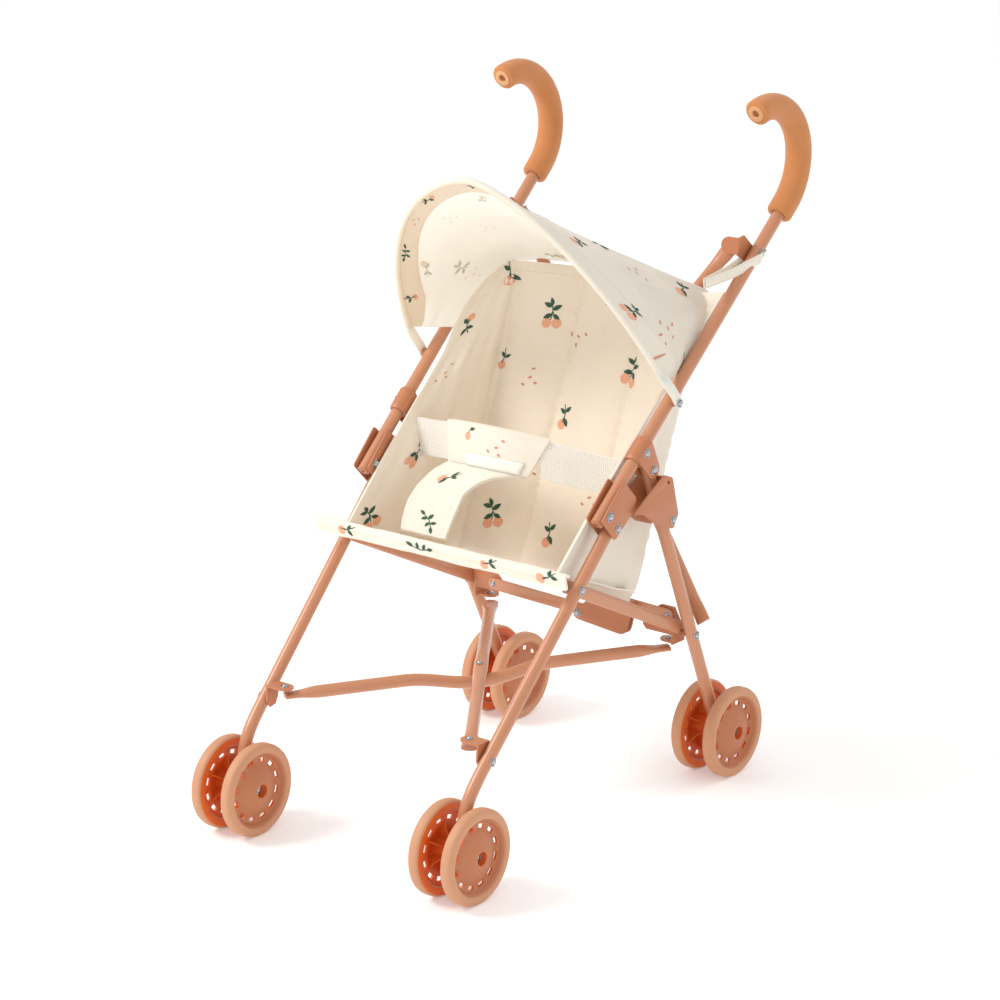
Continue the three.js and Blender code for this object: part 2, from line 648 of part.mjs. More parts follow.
for (const [side, name] of [[-1, "left"], [1, "right"]]) {
  makeHandle(side, name);
  makeSleeve(side, name);
  makeFoldBracket(side, name);
  makeLockChannel(side, name);
  makePins(side, name);
  makeLegs(side, name);
  makeWheelPair(side, `${name}_front`, FRONT_AXLE);
  makeWheelPair(side, `${name}_rear`, REAR_AXLE);
  makeFrontBarBracket(side, name);
  makeRearBarBracket(side, name);
  makeTopBarBracket(side, name);
  makeCrossBars(side, name);
  makeSideRail(side, name);
  makeHoodClip(side, name);
}
makeSpreader();
makeHood();
makeSeat();

export default stroller;
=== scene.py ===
"""Looks of a doll stroller: painted tubes, pressed brackets, moulded wheels, foam grips and printed cotton.

Lengths in the shape code are millimetres in the drawing frame, and at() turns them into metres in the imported
frame. "side" is -1 for the left half of the stroller and +1 for the right.
"""
import json
import math
import random

import bmesh
import bpy
from mathutils import Matrix, Vector, noise

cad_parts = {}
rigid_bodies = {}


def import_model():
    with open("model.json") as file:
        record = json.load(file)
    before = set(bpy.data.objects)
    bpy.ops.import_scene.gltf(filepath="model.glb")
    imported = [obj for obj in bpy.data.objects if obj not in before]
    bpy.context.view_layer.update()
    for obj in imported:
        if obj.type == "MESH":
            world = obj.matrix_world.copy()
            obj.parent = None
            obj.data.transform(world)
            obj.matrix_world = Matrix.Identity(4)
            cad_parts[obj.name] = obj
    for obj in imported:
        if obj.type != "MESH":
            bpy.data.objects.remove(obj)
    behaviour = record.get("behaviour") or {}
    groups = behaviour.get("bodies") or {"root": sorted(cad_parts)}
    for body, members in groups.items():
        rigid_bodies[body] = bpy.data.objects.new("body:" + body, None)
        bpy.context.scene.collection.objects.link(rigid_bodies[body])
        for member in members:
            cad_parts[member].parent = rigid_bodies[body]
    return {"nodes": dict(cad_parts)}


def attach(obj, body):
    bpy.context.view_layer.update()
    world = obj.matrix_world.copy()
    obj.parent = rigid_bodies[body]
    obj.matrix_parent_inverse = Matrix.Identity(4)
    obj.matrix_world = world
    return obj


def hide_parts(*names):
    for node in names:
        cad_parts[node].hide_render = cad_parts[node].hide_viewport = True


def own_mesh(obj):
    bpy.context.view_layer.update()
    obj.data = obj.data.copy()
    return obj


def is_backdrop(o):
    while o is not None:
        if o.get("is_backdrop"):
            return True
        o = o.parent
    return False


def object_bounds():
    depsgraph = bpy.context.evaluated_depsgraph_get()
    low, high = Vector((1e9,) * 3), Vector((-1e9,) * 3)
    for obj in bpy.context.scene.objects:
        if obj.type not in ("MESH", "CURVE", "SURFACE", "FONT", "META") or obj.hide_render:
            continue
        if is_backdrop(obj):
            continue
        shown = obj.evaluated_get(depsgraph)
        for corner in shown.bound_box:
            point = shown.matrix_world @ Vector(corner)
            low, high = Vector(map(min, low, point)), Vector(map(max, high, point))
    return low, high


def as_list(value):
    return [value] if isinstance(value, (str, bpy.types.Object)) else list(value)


for leftover in list(bpy.data.objects):
    bpy.data.objects.remove(leftover)
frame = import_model()
NODES = frame["nodes"]
cad_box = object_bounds()

# ---------------------------------------------------------------- driving dimensions

CENTRE_Y = 24.6
TUBE_R = 5
GRIP_R = 10.3
HANDLE_FOOT = (-9, 251.3)
SLOPE = math.radians(41.33)
HANDLE_STRAIGHT = 311.5
HOOK_R = 46
HOOK_SWEEP = 159
FOLD_HINGE = (-2.6, 256.9)
REAR_HINGE = (52.8, 280.8)
LOCK_PIVOT = (76, 236)
RAIL_FRONT = (-30.5, 205.2)
RAIL_REAR = (116, 134)
WHEEL_R = 36.8
FRONT_AXLE = (-165, WHEEL_R)
REAR_AXLE = (165, WHEEL_R)
HOOD_PIVOT = (79, 328)
WHEEL_OFFSET = 15.1
FRONT_EAR = (90.4, -132)
REAR_EAR = (89.4, 121.5)
SIDES = ((-1, "left"), (1, "right"))
ALONG_X = Vector((1, 0, 0))
UPWARDS = Vector((0, 0, 1))


def at(x, y, z):
    """A place in the drawing frame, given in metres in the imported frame."""
    return Vector((x, y - CENTRE_Y, z)) / 1000


def plane_x(z):
    """How far out the side frames stand at height z; they lean outwards a little."""
    return 106 + 0.031 * z


def on_side(side, y, z, out=0):
    return at(side * (plane_x(z) + out), y, z)


def along_handle(s, n=0):
    """Side view place at s along the handle tube and n behind it."""
    y = HANDLE_FOOT[0] + s * math.cos(SLOPE) + n * math.sin(SLOPE)
    z = HANDLE_FOOT[1] + s * math.sin(SLOPE) - n * math.cos(SLOPE)
    return y, z


def mix(a, b, share):
    return a + (b - a) * share


def smooth(value):
    value = min(max(value, 0), 1)
    return value * value * (3 - 2 * value)


def beyond(first, last, extra):
    """The place that lies extra past last on the line from first."""
    run = math.dist(first, last)
    return tuple(b + (b - a) / run * extra for a, b in zip(first, last))


# ---------------------------------------------------------------- camera and studio

CAMERA_ANGLES = (38.06, 16.965, 0.103)
CAMERA_AIM = (15.135, 0, 249.375)
CAMERA_DISTANCE = 2.70685
LIGHT_AIM = Vector((0, 0, 0.25))


def make_camera():
    azimuth, elevation, roll = (math.radians(angle) for angle in CAMERA_ANGLES)
    level = math.cos(elevation)
    back = Vector((math.sin(azimuth) * level, -math.cos(azimuth) * level, math.sin(elevation)))
    right = Vector((math.cos(azimuth), math.sin(azimuth), 0))
    turn = Matrix.Rotation(-roll, 3, -back)
    right, up = turn @ right, turn @ back.cross(right)
    lens = bpy.data.cameras.new("camera")
    lens.lens, lens.sensor_width = 127.38, 36
    lens.clip_start, lens.clip_end = 0.1, 60
    camera = bpy.data.objects.new("camera", lens)
    place = at(*CAMERA_AIM) + back * CAMERA_DISTANCE
    camera.matrix_world = Matrix(
        [(right[i], up[i], back[i], place[i]) for i in range(3)] + [(0, 0, 0, 1)]
    )
    bpy.context.scene.collection.objects.link(camera)
    bpy.context.scene.camera = camera


def make_light(name, place, size, power, tint=(1, 1, 1)):
    lamp = bpy.data.lights.new(name, "AREA")
    lamp.shape, lamp.size, lamp.energy, lamp.color = "DISK", size, power, tint
    holder = bpy.data.objects.new(name, lamp)
    holder.location = place
    holder.rotation_euler = (LIGHT_AIM - Vector(place)).to_track_quat("-Z", "Y").to_euler()
    bpy.context.scene.collection.objects.link(holder)


def light_studio():
    world = bpy.data.worlds.new("studio")
    bpy.context.scene.world = world
    world.use_nodes = True
    sky = world.node_tree.nodes["Background"]
    sky.inputs["Color"].default_value = (1, 0.995, 0.985, 1)
    sky.inputs["Strength"].default_value = 0.82
    make_light("key", (-1.5, -1.6, 2.1), 1.1, 46, (1, 0.985, 0.965))
    make_light("fill", (2.2, -1.9, 1.1), 1.8, 3)
    make_light("back", (0.9, 2.0, 2.2), 1.4, 8)
    bpy.context.scene.view_settings.view_transform = "Standard"


# ---------------------------------------------------------------- finishes


class Value:
    """One number or colour on its way through a finish; Python's operators add the Math nodes."""

    def __init__(self, finish, socket):
        self.finish, self.socket = finish, socket

    def work(self, operation, *numbers):
        return self.finish.node(
            "ShaderNodeMath", {"operation": operation}, dict(enumerate(numbers))
        )

    def __add__(self, other):
        return self.work("ADD", self, other)

    def __radd__(self, other):
        return self.work("ADD", other, self)

    def __sub__(self, other):
        return self.work("SUBTRACT", self, other)

    def __rsub__(self, other):
        return self.work("SUBTRACT", other, self)

    def __mul__(self, other):
        return self.work("MULTIPLY", self, other)

    def __rmul__(self, other):
        return self.work("MULTIPLY", other, self)

    def sine(self):
        return self.work("SINE", self)

    def size(self):
        return self.work("ABSOLUTE", self)


class Finish:
    """A material and its nodes, starting from one Principled shader."""

    def __init__(self, name, **sockets):
        self.material = bpy.data.materials.new(name)
        self.material.use_nodes = True
        self.tree = self.material.node_tree
        self.shader = self.tree.nodes["Principled BSDF"]
        for socket, value in sockets.items():
            self.set(socket.replace("_", " "), value)

    def node(self, kind, settings=None, values=None, output=0):
        made = self.tree.nodes.new(kind)
        for key, value in (settings or {}).items():
            if key == "stops":
                ramp = made.color_ramp.elements
                for place, colour in value[2:]:
                    ramp.new(place)
                for stop, (place, colour) in zip(ramp, value):
                    stop.position, stop.color = place, colour
            else:
                setattr(made, key, value)
        for key, value in (values or {}).items():
            self.plug(made.inputs[key], value)
        return Value(self, made.outputs[output])

    def plug(self, socket, value):
        if isinstance(value, Value):
            self.tree.links.new(value.socket, socket)
        else:
            socket.default_value = value

    def set(self, socket, value):
        self.plug(self.shader.inputs[socket], value)


def rgb(red, green, blue):
    """A colour given as it looks on a screen, 0 to 255."""
    return tuple((c / 255) ** 2.2 for c in (red, green, blue)) + (1,)


def place_on(finish):
    return finish.node("ShaderNodeTexCoord", output="Object")


def cloud(finish, scale, detail=2, stretch=None):
    """Soft noise from 0 to 1; scale counts its lumps in a metre."""
    where = place_on(finish)
    if stretch:
        where = finish.node("ShaderNodeMapping", None, {"Vector": where, "Scale": stretch})
    return finish.node(
        "ShaderNodeTexNoise", None, {"Vector": where, "Scale": scale, "Detail": detail}
    )


def tone(finish, share, first, second):
    return finish.node("ShaderNodeMix", {"data_type": "RGBA"}, {0: share, 6: first, 7: second}, 2)


def raise_by(finish, height, depth, strength=1.0):
    values = {"Height": height, "Distance": depth, "Strength": strength}
    finish.set("Normal", finish.node("ShaderNodeBump", None, values))


def powder_coat(name, colour, deep):
    """Satin powder coat: a fine orange peel and slight drift of the colour."""
    finish = Finish(name, Coat_Roughness=0.2)
    drift = cloud(finish, 16, 3)
    speck = cloud(finish, 1100, 2)
    finish.set("Base Color", tone(finish, drift * 0.55 + speck * 0.2, colour, deep))
    finish.set("Roughness", 0.27 + cloud(finish, 60) * 0.12 + speck * 0.06)
    finish.set("Coat Weight", 0.4)
    raise_by(finish, speck + cloud(finish, 380) * 0.8, 0.00009, 0.55)
    return finish


def moulded(name, colour, deep, roughness, grain=0.00012):
    """Moulded plastic with a fine eroded grain and faint flow marks."""
    finish = Finish(name)
    grit = cloud(finish, 1900, 3)
    flow = cloud(finish, 26, 3, (1, 0.3, 1))
    finish.set("Base Color", tone(finish, flow * 0.6 + grit * 0.25, colour, deep))
    finish.set("Roughness", roughness + grit * 0.14 - flow * 0.05)
    raise_by(finish, grit, grain, 0.6)
    return finish


def closed_cell_foam():
    finish = Finish("grip_foam", Sheen_Weight=0.2, Sheen_Roughness=0.5)
    cells = finish.node(
        "ShaderNodeTexVoronoi", None, {"Vector": place_on(finish), "Scale": 1250}
    )
    pores = cloud(finish, 700, 4)
    mottle = cloud(finish, 42, 3)
    shade = mottle * 0.5 + pores * 0.35 - cells * 0.2
    finish.set("Base Color", tone(finish, shade, rgb(206, 136, 82), rgb(170, 100, 52)))
    finish.set("Roughness", 0.72 + pores * 0.2)
    raise_by(finish, cells * 0.6 + pores, 0.00022, 0.6)
    return finish


def bright_steel():
    finish = Finish("bright_steel", Metallic=1.0)
    brush = cloud(finish, 500, 4, (1, 1, 4))
    finish.set("Base Color", tone(finish, brush, rgb(206, 206, 210), rgb(150, 150, 156)))
    finish.set("Roughness", 0.09 + brush * 0.12)
    raise_by(finish, brush, 0.00002, 0.3)
    return finish


def threads(finish, pitch):
    """Warp and weft of a plain weave: two numbers from -1 to 1 that run across each other."""
    where = finish.node("ShaderNodeTexCoord", output="UV")
    turns = 2 * math.pi / pitch
    warp, weft = (
        (finish.node("ShaderNodeSeparateXYZ", None, {0: where}, axis) * turns).sine()
        for axis in (0, 1)
    )
    return warp, weft


def cotton(name, colour, deep, crease=0.4):
    """Plain woven cotton: threads, slubs and a soft washed unevenness."""
    finish = Finish(name, Sheen_Weight=0.25, Sheen_Roughness=0.4)
    warp, weft = threads(finish, 0.0007)
    weave = warp * weft
    slub = cloud(finish, 240, 3, (0.25, 1, 1))
    wash = cloud(finish, 14, 4)
    finish.set(
        "Base Color", tone(finish, wash * 0.55 + slub * 0.3 + weave * 0.08, colour, deep)
    )
    finish.set("Roughness", 0.82 + slub * 0.14)
    raise_by(finish, weave * 0.25 + slub * 0.5 + cloud(finish, 55, 4) * 5 * crease, 0.00022, 0.7)
    return finish


def webbing_weave():
    """Coarse webbing: diagonal rows of small pockets between its cords, painted darker as shade in the
    pockets.
    """
    finish = Finish("webbing", Sheen_Weight=0.2, Sheen_Roughness=0.4)
    warp, weft = threads(finish, 0.0034)
    cords = warp * weft
    pocket = cords.size()
    fuzz = cloud(finish, 900, 3)
    # The pockets are painted darker as shade in them; the fuzz is a random tone.
    shade = pocket * 0.45 + fuzz * 0.15
    finish.set("Base Color", tone(finish, shade, rgb(249, 245, 236), rgb(196, 186, 168)))
    finish.set("Roughness", 0.85 + fuzz * 0.1)
    raise_by(finish, 1 - pocket + fuzz * 0.3, 0.0005, 0.8)
    return finish


def printed_ink(name, colour, deep):
    """Ink on cotton: the thread tops show a little through it."""
    finish = Finish(name)
    patch = cloud(finish, 420, 4)
    dry = cloud(finish, 1500, 2)
    finish.set("Base Color", tone(finish, patch * 0.6 + dry * 0.35, colour, deep))
    finish.set("Roughness", 0.8 + dry * 0.15)
    raise_by(finish, dry + patch, 0.0001, 0.5)
    return finish


PAINT = powder_coat("frame_paint", rgb(202, 140, 104), rgb(176, 112, 78))
# The bracket paint is the frame's colour made a little darker as painted shade on the brackets.
BRACKET_PAINT_AND_SHADE = moulded("bracket_paint_and_shade", rgb(196, 128, 91), rgb(170, 102, 68), 0.36, 0.00008)
TYRE = moulded("wheel_plastic", rgb(208, 153, 118), rgb(188, 130, 94), 0.5)
DISC = moulded("wheel_disc", rgb(194, 126, 89), rgb(172, 102, 66), 0.46)
# Painted light: the wheels' inside is the same plastic, painted a deeper orange for how the light falls there.
WHEEL_INSIDE_PAINTED_LIGHT = moulded("wheel_inside_painted_light", rgb(230, 116, 48), rgb(204, 84, 22), 0.48)
FOAM = closed_cell_foam()
PLUG = moulded("grip_plug", rgb(222, 170, 122), rgb(196, 136, 88), 0.42)
# Painted shade: a dark finish in the grip end's hole and in the rivets' grooves, where only shade falls.
HOLLOW_SHADE = moulded("painted_shade_hollow", rgb(44, 30, 24), rgb(24, 16, 13), 0.8)
STEEL = bright_steel()
COTTON = cotton("printed_cotton", rgb(240, 233, 220), rgb(226, 216, 198))
SEAT_COTTON = cotton("seat_cotton", rgb(248, 238, 224), rgb(236, 221, 201), 0.8)
LINING_WITH_PAINTED_GLOW = cotton("hood_lining_painted_glow", rgb(252, 249, 240), rgb(244, 239, 227), 0.3)
# Painted light: the lining's faint glow stands in for daylight coming through the hood's cloth.
LINING_WITH_PAINTED_GLOW.set("Emission Color", rgb(255, 247, 232))
LINING_WITH_PAINTED_GLOW.set("Emission Strength", 0.13)
HEM_COTTON = cotton("hem_cotton", rgb(244, 228, 205), rgb(232, 212, 184), 0.4)
WEBBING = webbing_weave()
WHITE_TAPE = cotton("woven_tape", rgb(250, 248, 240), rgb(238, 234, 222), 0.1)
THREAD = printed_ink("sewing_thread", rgb(226, 208, 180), rgb(206, 184, 152))
STAY = moulded("hood_plastic", rgb(240, 237, 226), rgb(222, 217, 202), 0.34, 0.00005)
STAY.set("Subsurface Weight", 0.25)
LEAF = printed_ink("leaf_ink", rgb(44, 78, 58), rgb(70, 100, 78))
FRUIT = printed_ink("fruit_ink", rgb(238, 178, 148), rgb(228, 158, 124))
MARK = printed_ink("mark_ink", rgb(214, 150, 128), rgb(200, 132, 112))
FAINT_LEAF = printed_ink("faint_leaf_ink", rgb(196, 200, 182), rgb(206, 206, 190))
FAINT_FRUIT = printed_ink("faint_fruit_ink", rgb(238, 220, 204), rgb(232, 212, 196))

# ---------------------------------------------------------------- shapes


class Shape:
    """Points and faces gathered for one piece. Each face keeps the number of its finish."""

    def __init__(self):
        self.points, self.faces, self.finish_of, self.cloth_at = [], [], [], []

    def add(self, made, finish=0, cloth_at=None):
        points, faces = made
        first = len(self.points)
        self.points += points
        self.faces += [[first + i for i in face] for face in faces]
        self.finish_of += [finish] * len(faces) if isinstance(finish, int) else finish
        self.cloth_at += cloth_at or [(0, 0)] * len(points)
        return self

    def piece(self, name, body, finishes, replaced=(), slot="frame_paint", sharp=35, closed=True):
        mesh = bpy.data.meshes.new(name)
        mesh.from_pydata(self.points, [], self.faces)
        for finish in finishes:
            mesh.materials.append(finish.material)
        mesh.polygons.foreach_set("material_index", self.finish_of)
        lay = mesh.uv_layers.new(name="cloth").data
        for loop in mesh.loops:
            lay[loop.index].uv = self.cloth_at[loop.vertex_index]
        if closed:
            work = bmesh.new()
            work.from_mesh(mesh)
            bmesh.ops.recalc_face_normals(work, faces=work.faces)
            work.to_mesh(mesh)
            work.free()
        mesh.shade_smooth()
        mesh.set_sharp_from_angle(angle=math.radians(sharp))
        obj = bpy.data.objects.new(name, mesh)
        bpy.context.scene.collection.objects.link(obj)
        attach(obj, body)
        if replaced:
            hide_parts(*replaced)
        return obj


def skin(rings):
    """Faces between rings of point numbers; a ring of one number is a tip."""
    faces = []
    for one, other in zip(rings, rings[1:]):
        count = max(len(one), len(other))
        for k in range(count):
            corners = [
                one[k % len(one)],
                one[(k + 1) % len(one)],
                other[(k + 1) % len(other)],
                other[k % len(other)],
            ]
            faces.append(list(dict.fromkeys(corners)))
    return faces


def rings_of(stations, sides):
    """Points of the rings (middle, across, up, radius), with tips where the radius is 0."""
    points, rings = [], []
    for middle, across, up, radius in stations:
        start = len(points)
        if radius == 0:
            points.append(middle)
        else:
            for k in range(sides):
                angle = 2 * math.pi * k / sides
                reach = across * math.cos(angle) + up * math.sin(angle)
                points.append(middle + reach * radius / 1000)
        rings.append(list(range(start, len(points))))
    return points, rings


def capped(points, rings, loop):
    if loop:
        return points, skin(rings + rings[:1])
    ends = [list(ring) for ring in (rings[0], rings[-1]) if len(ring) > 2]
    return points, skin(rings) + ends


def frames_along(path):
    across = None
    for i, point in enumerate(path):
        ahead = (path[min(i + 1, len(path) - 1)] - path[max(i - 1, 0)]).normalized()
        across = across or ahead.orthogonal()
        across = (across - ahead * across.dot(ahead)).normalized()
        yield point, across, ahead.cross(across)


def sweep(path, radii, sides=28):
    """A solid round bar along a path. radii is one radius, or (index on the path, radius) pairs."""
    frames = list(frames_along(path))
    loop = not isinstance(radii, (int, float))
    if not loop:
        radii = [(i, radii) for i in range(len(path))]
    stations = [(*frames[i], radius) for i, radius in radii]
    points, rings = rings_of(stations, sides)
    return capped(points, rings, loop)


def hollow(count, outer, inner, fillet=0.0):
    """Stations for sweep: a hollow bar with rounded end edges over count path points."""
    last = count - 1
    soft = outer - fillet
    outside = [(i, outer) for i in range(1, last)]
    return [(0, inner), (0, soft), *outside, (last, soft), (last, inner)] + [
        (i, inner) for i in range(last - 1, 0, -1)
    ]


def revolve(profile, centre, axis, sides=36):
    """profile is (radius, place along the axis) pairs; it closes on itself where it ends as it began."""
    across = axis.orthogonal().normalized()
    up = axis.cross(across)
    loop = profile[0] == profile[-1]
    line = profile[:-1] if loop else profile
    stations = [(centre + axis * along / 1000, across, up, radius) for radius, along in line]
    points, rings = rings_of(stations, sides)
    return capped(points, rings, loop)


def rounded(corners, radius, steps=4):
    """The outline with its corners rounded."""
    line = []
    for i, corner in enumerate(corners):
        here = Vector(corner)
        before = Vector(corners[i - 1]) - here
        after = Vector(corners[(i + 1) % len(corners)]) - here
        start = here + before.normalized() * min(radius, before.length * 0.45)
        end = here + after.normalized() * min(radius, after.length * 0.45)
        for k in range(steps + 1):
            t = k / steps
            line.append(start.lerp(here, t).lerp(here.lerp(end, t), t))
    return line


def circle(centre, radius, count=28):
    return [
        Vector((centre[0] + radius * math.cos(a), centre[1] + radius * math.sin(a)))
        for a in (2 * math.pi * k / count for k in range(count))
    ]


def hull(points):
    """The outline round a set of flat points."""
    ordered = sorted((round(x, 5), round(y, 5)) for x, y in points)

    def chain(line):
        kept = []
        for p in line:
            while len(kept) > 1 and (
                (kept[-1][0] - kept[-2][0]) * (p[1] - kept[-2][1])
                <= (kept[-1][1] - kept[-2][1]) * (p[0] - kept[-2][0])
            ):
                kept.pop()
            kept.append(p)
        return kept[:-1]

    return chain(ordered) + chain(ordered[::-1])


def plate(outline, holes, near, far, place, edge=0.3):
    """A flat plate with softened edges; place(a, b, c) puts a drawn point at height c."""
    drawing = bpy.data.curves.new("drawing", "CURVE")
    drawing.dimensions, drawing.fill_mode = "2D", "BOTH"
    drawing.bevel_depth, drawing.bevel_resolution, drawing.offset = edge, 1, -edge
    drawing.extrude = abs(far - near) / 2 - edge
    for line in (outline, *holes):
        spline = drawing.splines.new("POLY")
        spline.points.add(len(line) - 1)
        for point, (a, b) in zip(spline.points, line):
            point.co = (a, b, 0, 1)
        spline.use_cyclic_u = True
    holder = bpy.data.objects.new("drawing", drawing)
    bpy.context.scene.collection.objects.link(holder)
    bpy.context.view_layer.update()
    solid = bpy.data.meshes.new_from_object(
        holder.evaluated_get(bpy.context.evaluated_depsgraph_get())
    )
    work = bmesh.new()
    work.from_mesh(solid)
    bmesh.ops.remove_doubles(work, verts=work.verts, dist=1e-4)
    middle = (near + far) / 2
    points = [place(v.co.x, v.co.y, middle + v.co.z) for v in work.verts]
    faces = [[v.index for v in face.verts] for face in work.faces]
    work.free()
    bpy.data.objects.remove(holder)
    bpy.data.curves.remove(drawing)
    bpy.data.meshes.remove(solid)
    return points, faces


def side_plate(side, outline, near, far, holes=(), edge=0.3):
    return plate(outline, holes, near, far, lambda y, z, out: on_side(side, y, z, out), edge)


# ---------------------------------------------------------------- handle tubes and grips

hook_start = along_handle(HANDLE_STRAIGHT)
HOOK_CENTRE = (
    hook_start[0] - HOOK_R * math.sin(SLOPE),
    hook_start[1] + HOOK_R * math.cos(SLOPE),
)


def hook_line(side, first, last, steps):
    line = []
    for i in range(steps + 1):
        angle = SLOPE - math.pi / 2 + math.radians(mix(first, last, i / steps))
        y = HOOK_CENTRE[0] + HOOK_R * math.cos(angle)
        line.append(on_side(side, y, HOOK_CENTRE[1] + HOOK_R * math.sin(angle)))
    return line


def make_handle(side, name, body):
    line = [on_side(side, *along_handle(s)) for s in (0, 0.4, 150, HANDLE_STRAIGHT - 4)]
    line += hook_line(side, 0, HOOK_SWEEP - 4, 40)
    Shape().add(sweep(line, TUBE_R)).piece(
        f"{name}_handle", body, [PAINT], [f"{name}_handle_tube"]
    )
    lead = [on_side(side, *along_handle(HANDLE_STRAIGHT - s)) for s in (11.7, 11, 9.8, 4)]
    grip_line = lead + hook_line(side, 0, HOOK_SWEEP, 60)
    grip_line[-1:] = hook_line(side, HOOK_SWEEP - 1.6, HOOK_SWEEP, 2)
    last = len(grip_line) - 1
    stations = [(0, 5.6), (0, GRIP_R - 1.9), (1, GRIP_R - 0.8), (2, GRIP_R - 0.1)]
    stations += [(i, GRIP_R) for i in range(3, last - 2)]
    stations += [(last - 2, GRIP_R - 0.1), (last - 1, GRIP_R - 0.7), (last, GRIP_R - 1.8), (last, 5.4)]
    stations += [(i, 5.4) for i in range(last - 2, 0, -2)]
    grip = Shape().add(sweep(grip_line, stations, 36))
    grip.piece(f"{name}_grip", body, [FOAM], [f"{name}_foam_grip"], "grip_foam")

    end, inside = (hook_line(side, HOOK_SWEEP + lead_in, HOOK_SWEEP, 1)[0] for lead_in in (0.5, -4))
    axis = (end - inside).normalized()
    ring = [(0, -3.5), (2.9, -3.5), (2.9, 0.2), (3.3, 0.7), (5.6, 0.7), (6.6, 0.3), (6.6, -2), (0, -3.6)]
    plug = Shape().add(revolve(ring, end, axis, 36))
    # The bottom of the plug's hole gets painted shade.
    plug.finish_of = [
        1 if all((plug.points[i] - end).dot(axis) < -0.003 for i in face) else 0
        for face in plug.faces
    ]
    plug.piece(f"{name}_grip_end", body, [PLUG, HOLLOW_SHADE], [f"{name}_grip_plug"], "grip_plug")

    foot = on_side(side, *along_handle(0))
    outward = (foot - on_side(side, *along_handle(20))).normalized()
    profile = [(0, -3), (1.5, -3), (1.5, 0.9), (3.4, 0.9), (4.4, 0.2), (4.4, -1.5), (0, -3.1)]
    stopper = Shape().add(revolve(profile, foot, outward, 24))
    stopper.piece(f"{name}_foot_plug", body, [BRACKET_PAINT_AND_SHADE], [f"{name}_tube_end_plug"])


# ---------------------------------------------------------------- sleeve, brackets and rivets

RIVET_HEAD = (
    (3.9, 0), (3.95, 0.35), (3.7, 0.6), (3.2, 0.62), (3.05, 0.1), (2.75, 0.1), (2.7, 0.7), (2.45, 1.3),
    (1.9, 1.85), (1.1, 2.2), (0, 2.35),
)
# Outer and inner radius of the ring between the washer and the head that is painted dark as shade in the
# groove.
GROOVE = (3.3, 2.65)


def rivet(name, body, centre, axis, scale=1.0, replaced=(), through=0.0):
    """A domed rivet head on a dished washer; with through, one head at each end of a shank."""
    shape = Shape()
    head = [(radius * scale, along * scale) for radius, along in RIVET_HEAD]
    if through:
        shank = [(1.6, -through), (1.6, through)]
        shape.add(revolve(shank, centre, axis, 16))
        shape.add(revolve(head, centre - axis * through / 1000, -axis, 28))
    shape.add(revolve(head, centre + axis * through / 1000, axis, 28))
    # The faces in the groove get painted shade.
    for number, face in enumerate(shape.faces):
        reach = {round(((shape.points[i] - centre).cross(axis)).length * 1000 / scale, 2) for i in face}
        if len(reach) == 2 and GROOVE[1] < min(reach) and max(reach) < GROOVE[0]:
            shape.finish_of[number] = 1
    return shape.piece(name, body, [STEEL, HOLLOW_SHADE], replaced, "bright_steel", sharp=50)


def make_sleeve(side, name, body):
    count = 12
    line = [on_side(side, *along_handle(mix(57.8, 78.2, k / (count - 1)))) for k in range(count)]
    shape = Shape().add(sweep(line, hollow(count, 7.2, 5.3, 0.7), 36))
    arm = [along_handle(*p) for p in ((59.5, 3), (77, 3), (72.6, 19.5), (59.2, 19.5))]
    cheek = hull([*arm, *circle(REAR_HINGE, 7), *circle(along_handle(61), 3), *circle(along_handle(75), 3)])
    for near, far in ((5.3, 7.2), (-7.2, -5.3)):
        shape.add(side_plate(side, cheek, near, far, edge=0.5))
    shape.piece(f"{name}_joint_sleeve", body, [BRACKET_PAINT_AND_SHADE], [f"{name}_sleeve"])
    rivet(
        f"{name}_sleeve_rivet", body, on_side(side, 42.6, 296.1, 7.1), ALONG_X * side, 0.95
    )
    rivet(
        f"{name}_rear_leg_rivet", body, on_side(side, *REAR_HINGE), ALONG_X, 0.98,
        [f"{name}_rear_leg_pin"], 7.3,
    )


def make_fold_bracket(side, name):
    body = f"{name}_front_leg"
    cheek = [(36.7, -7.4), (38.1, 17.3), (25.1, 22), (0.5, 20.4), (-0.4, -5.5)]
    outline = rounded([along_handle(*p) for p in cheek], 2.4)
    web = [along_handle(*p) for p in ((38.1, 17.3), (25.1, 22), (24.6, 20.7), (37.6, 16))]
    shape = Shape()
    for near, far in ((6.3, 7.7), (-7.7, -6.3)):
        shape.add(side_plate(side, outline, near, far))
    shape.add(side_plate(side, web, -6.9, 6.9, edge=0.2))
    shape.piece(f"{name}_hinge_bracket", body, [BRACKET_PAINT_AND_SHADE], [f"{name}_fold_bracket"])
    rivet(
        f"{name}_fold_rivet", f"{name}_frame", on_side(side, *FOLD_HINGE), ALONG_X, 1,
        [f"{name}_fold_pin"], 7.8,
    )
    rivet(f"{name}_bracket_rivet", body, on_side(side, 8.1, 244.7), ALONG_X, 0.95, (), 7.7)


def make_lock(side, name):
    body = f"{name}_lock"
    cheek = [
        (61.3, 275.4), (72.9, 270.9), (82.6, 239), (76.5, 228.5), (55, 236.6), (37.1, 249.2), (22.9, 252.7),
    ]
    outline = rounded(cheek, 2.2)
    web = [(72.9, 270.2), (82.4, 239.4), (81, 239), (71.5, 269.8)]
    shape = Shape()
    for near, far in ((9.4, 10.8), (-10.8, -9.4)):
        shape.add(side_plate(side, outline, near, far, [circle((67.6, 268), 1.5, 16)]))
    shape.add(side_plate(side, web, -10.2, 10.2, edge=0.2))
    shape.piece(f"{name}_lock_plate", body, [BRACKET_PAINT_AND_SHADE], [f"{name}_lock_channel"])
    rivet(f"{name}_lock_rivet", body, on_side(side, *LOCK_PIVOT), ALONG_X, 0.92, (), 10.7)


# ---------------------------------------------------------------- legs, axles and wheels


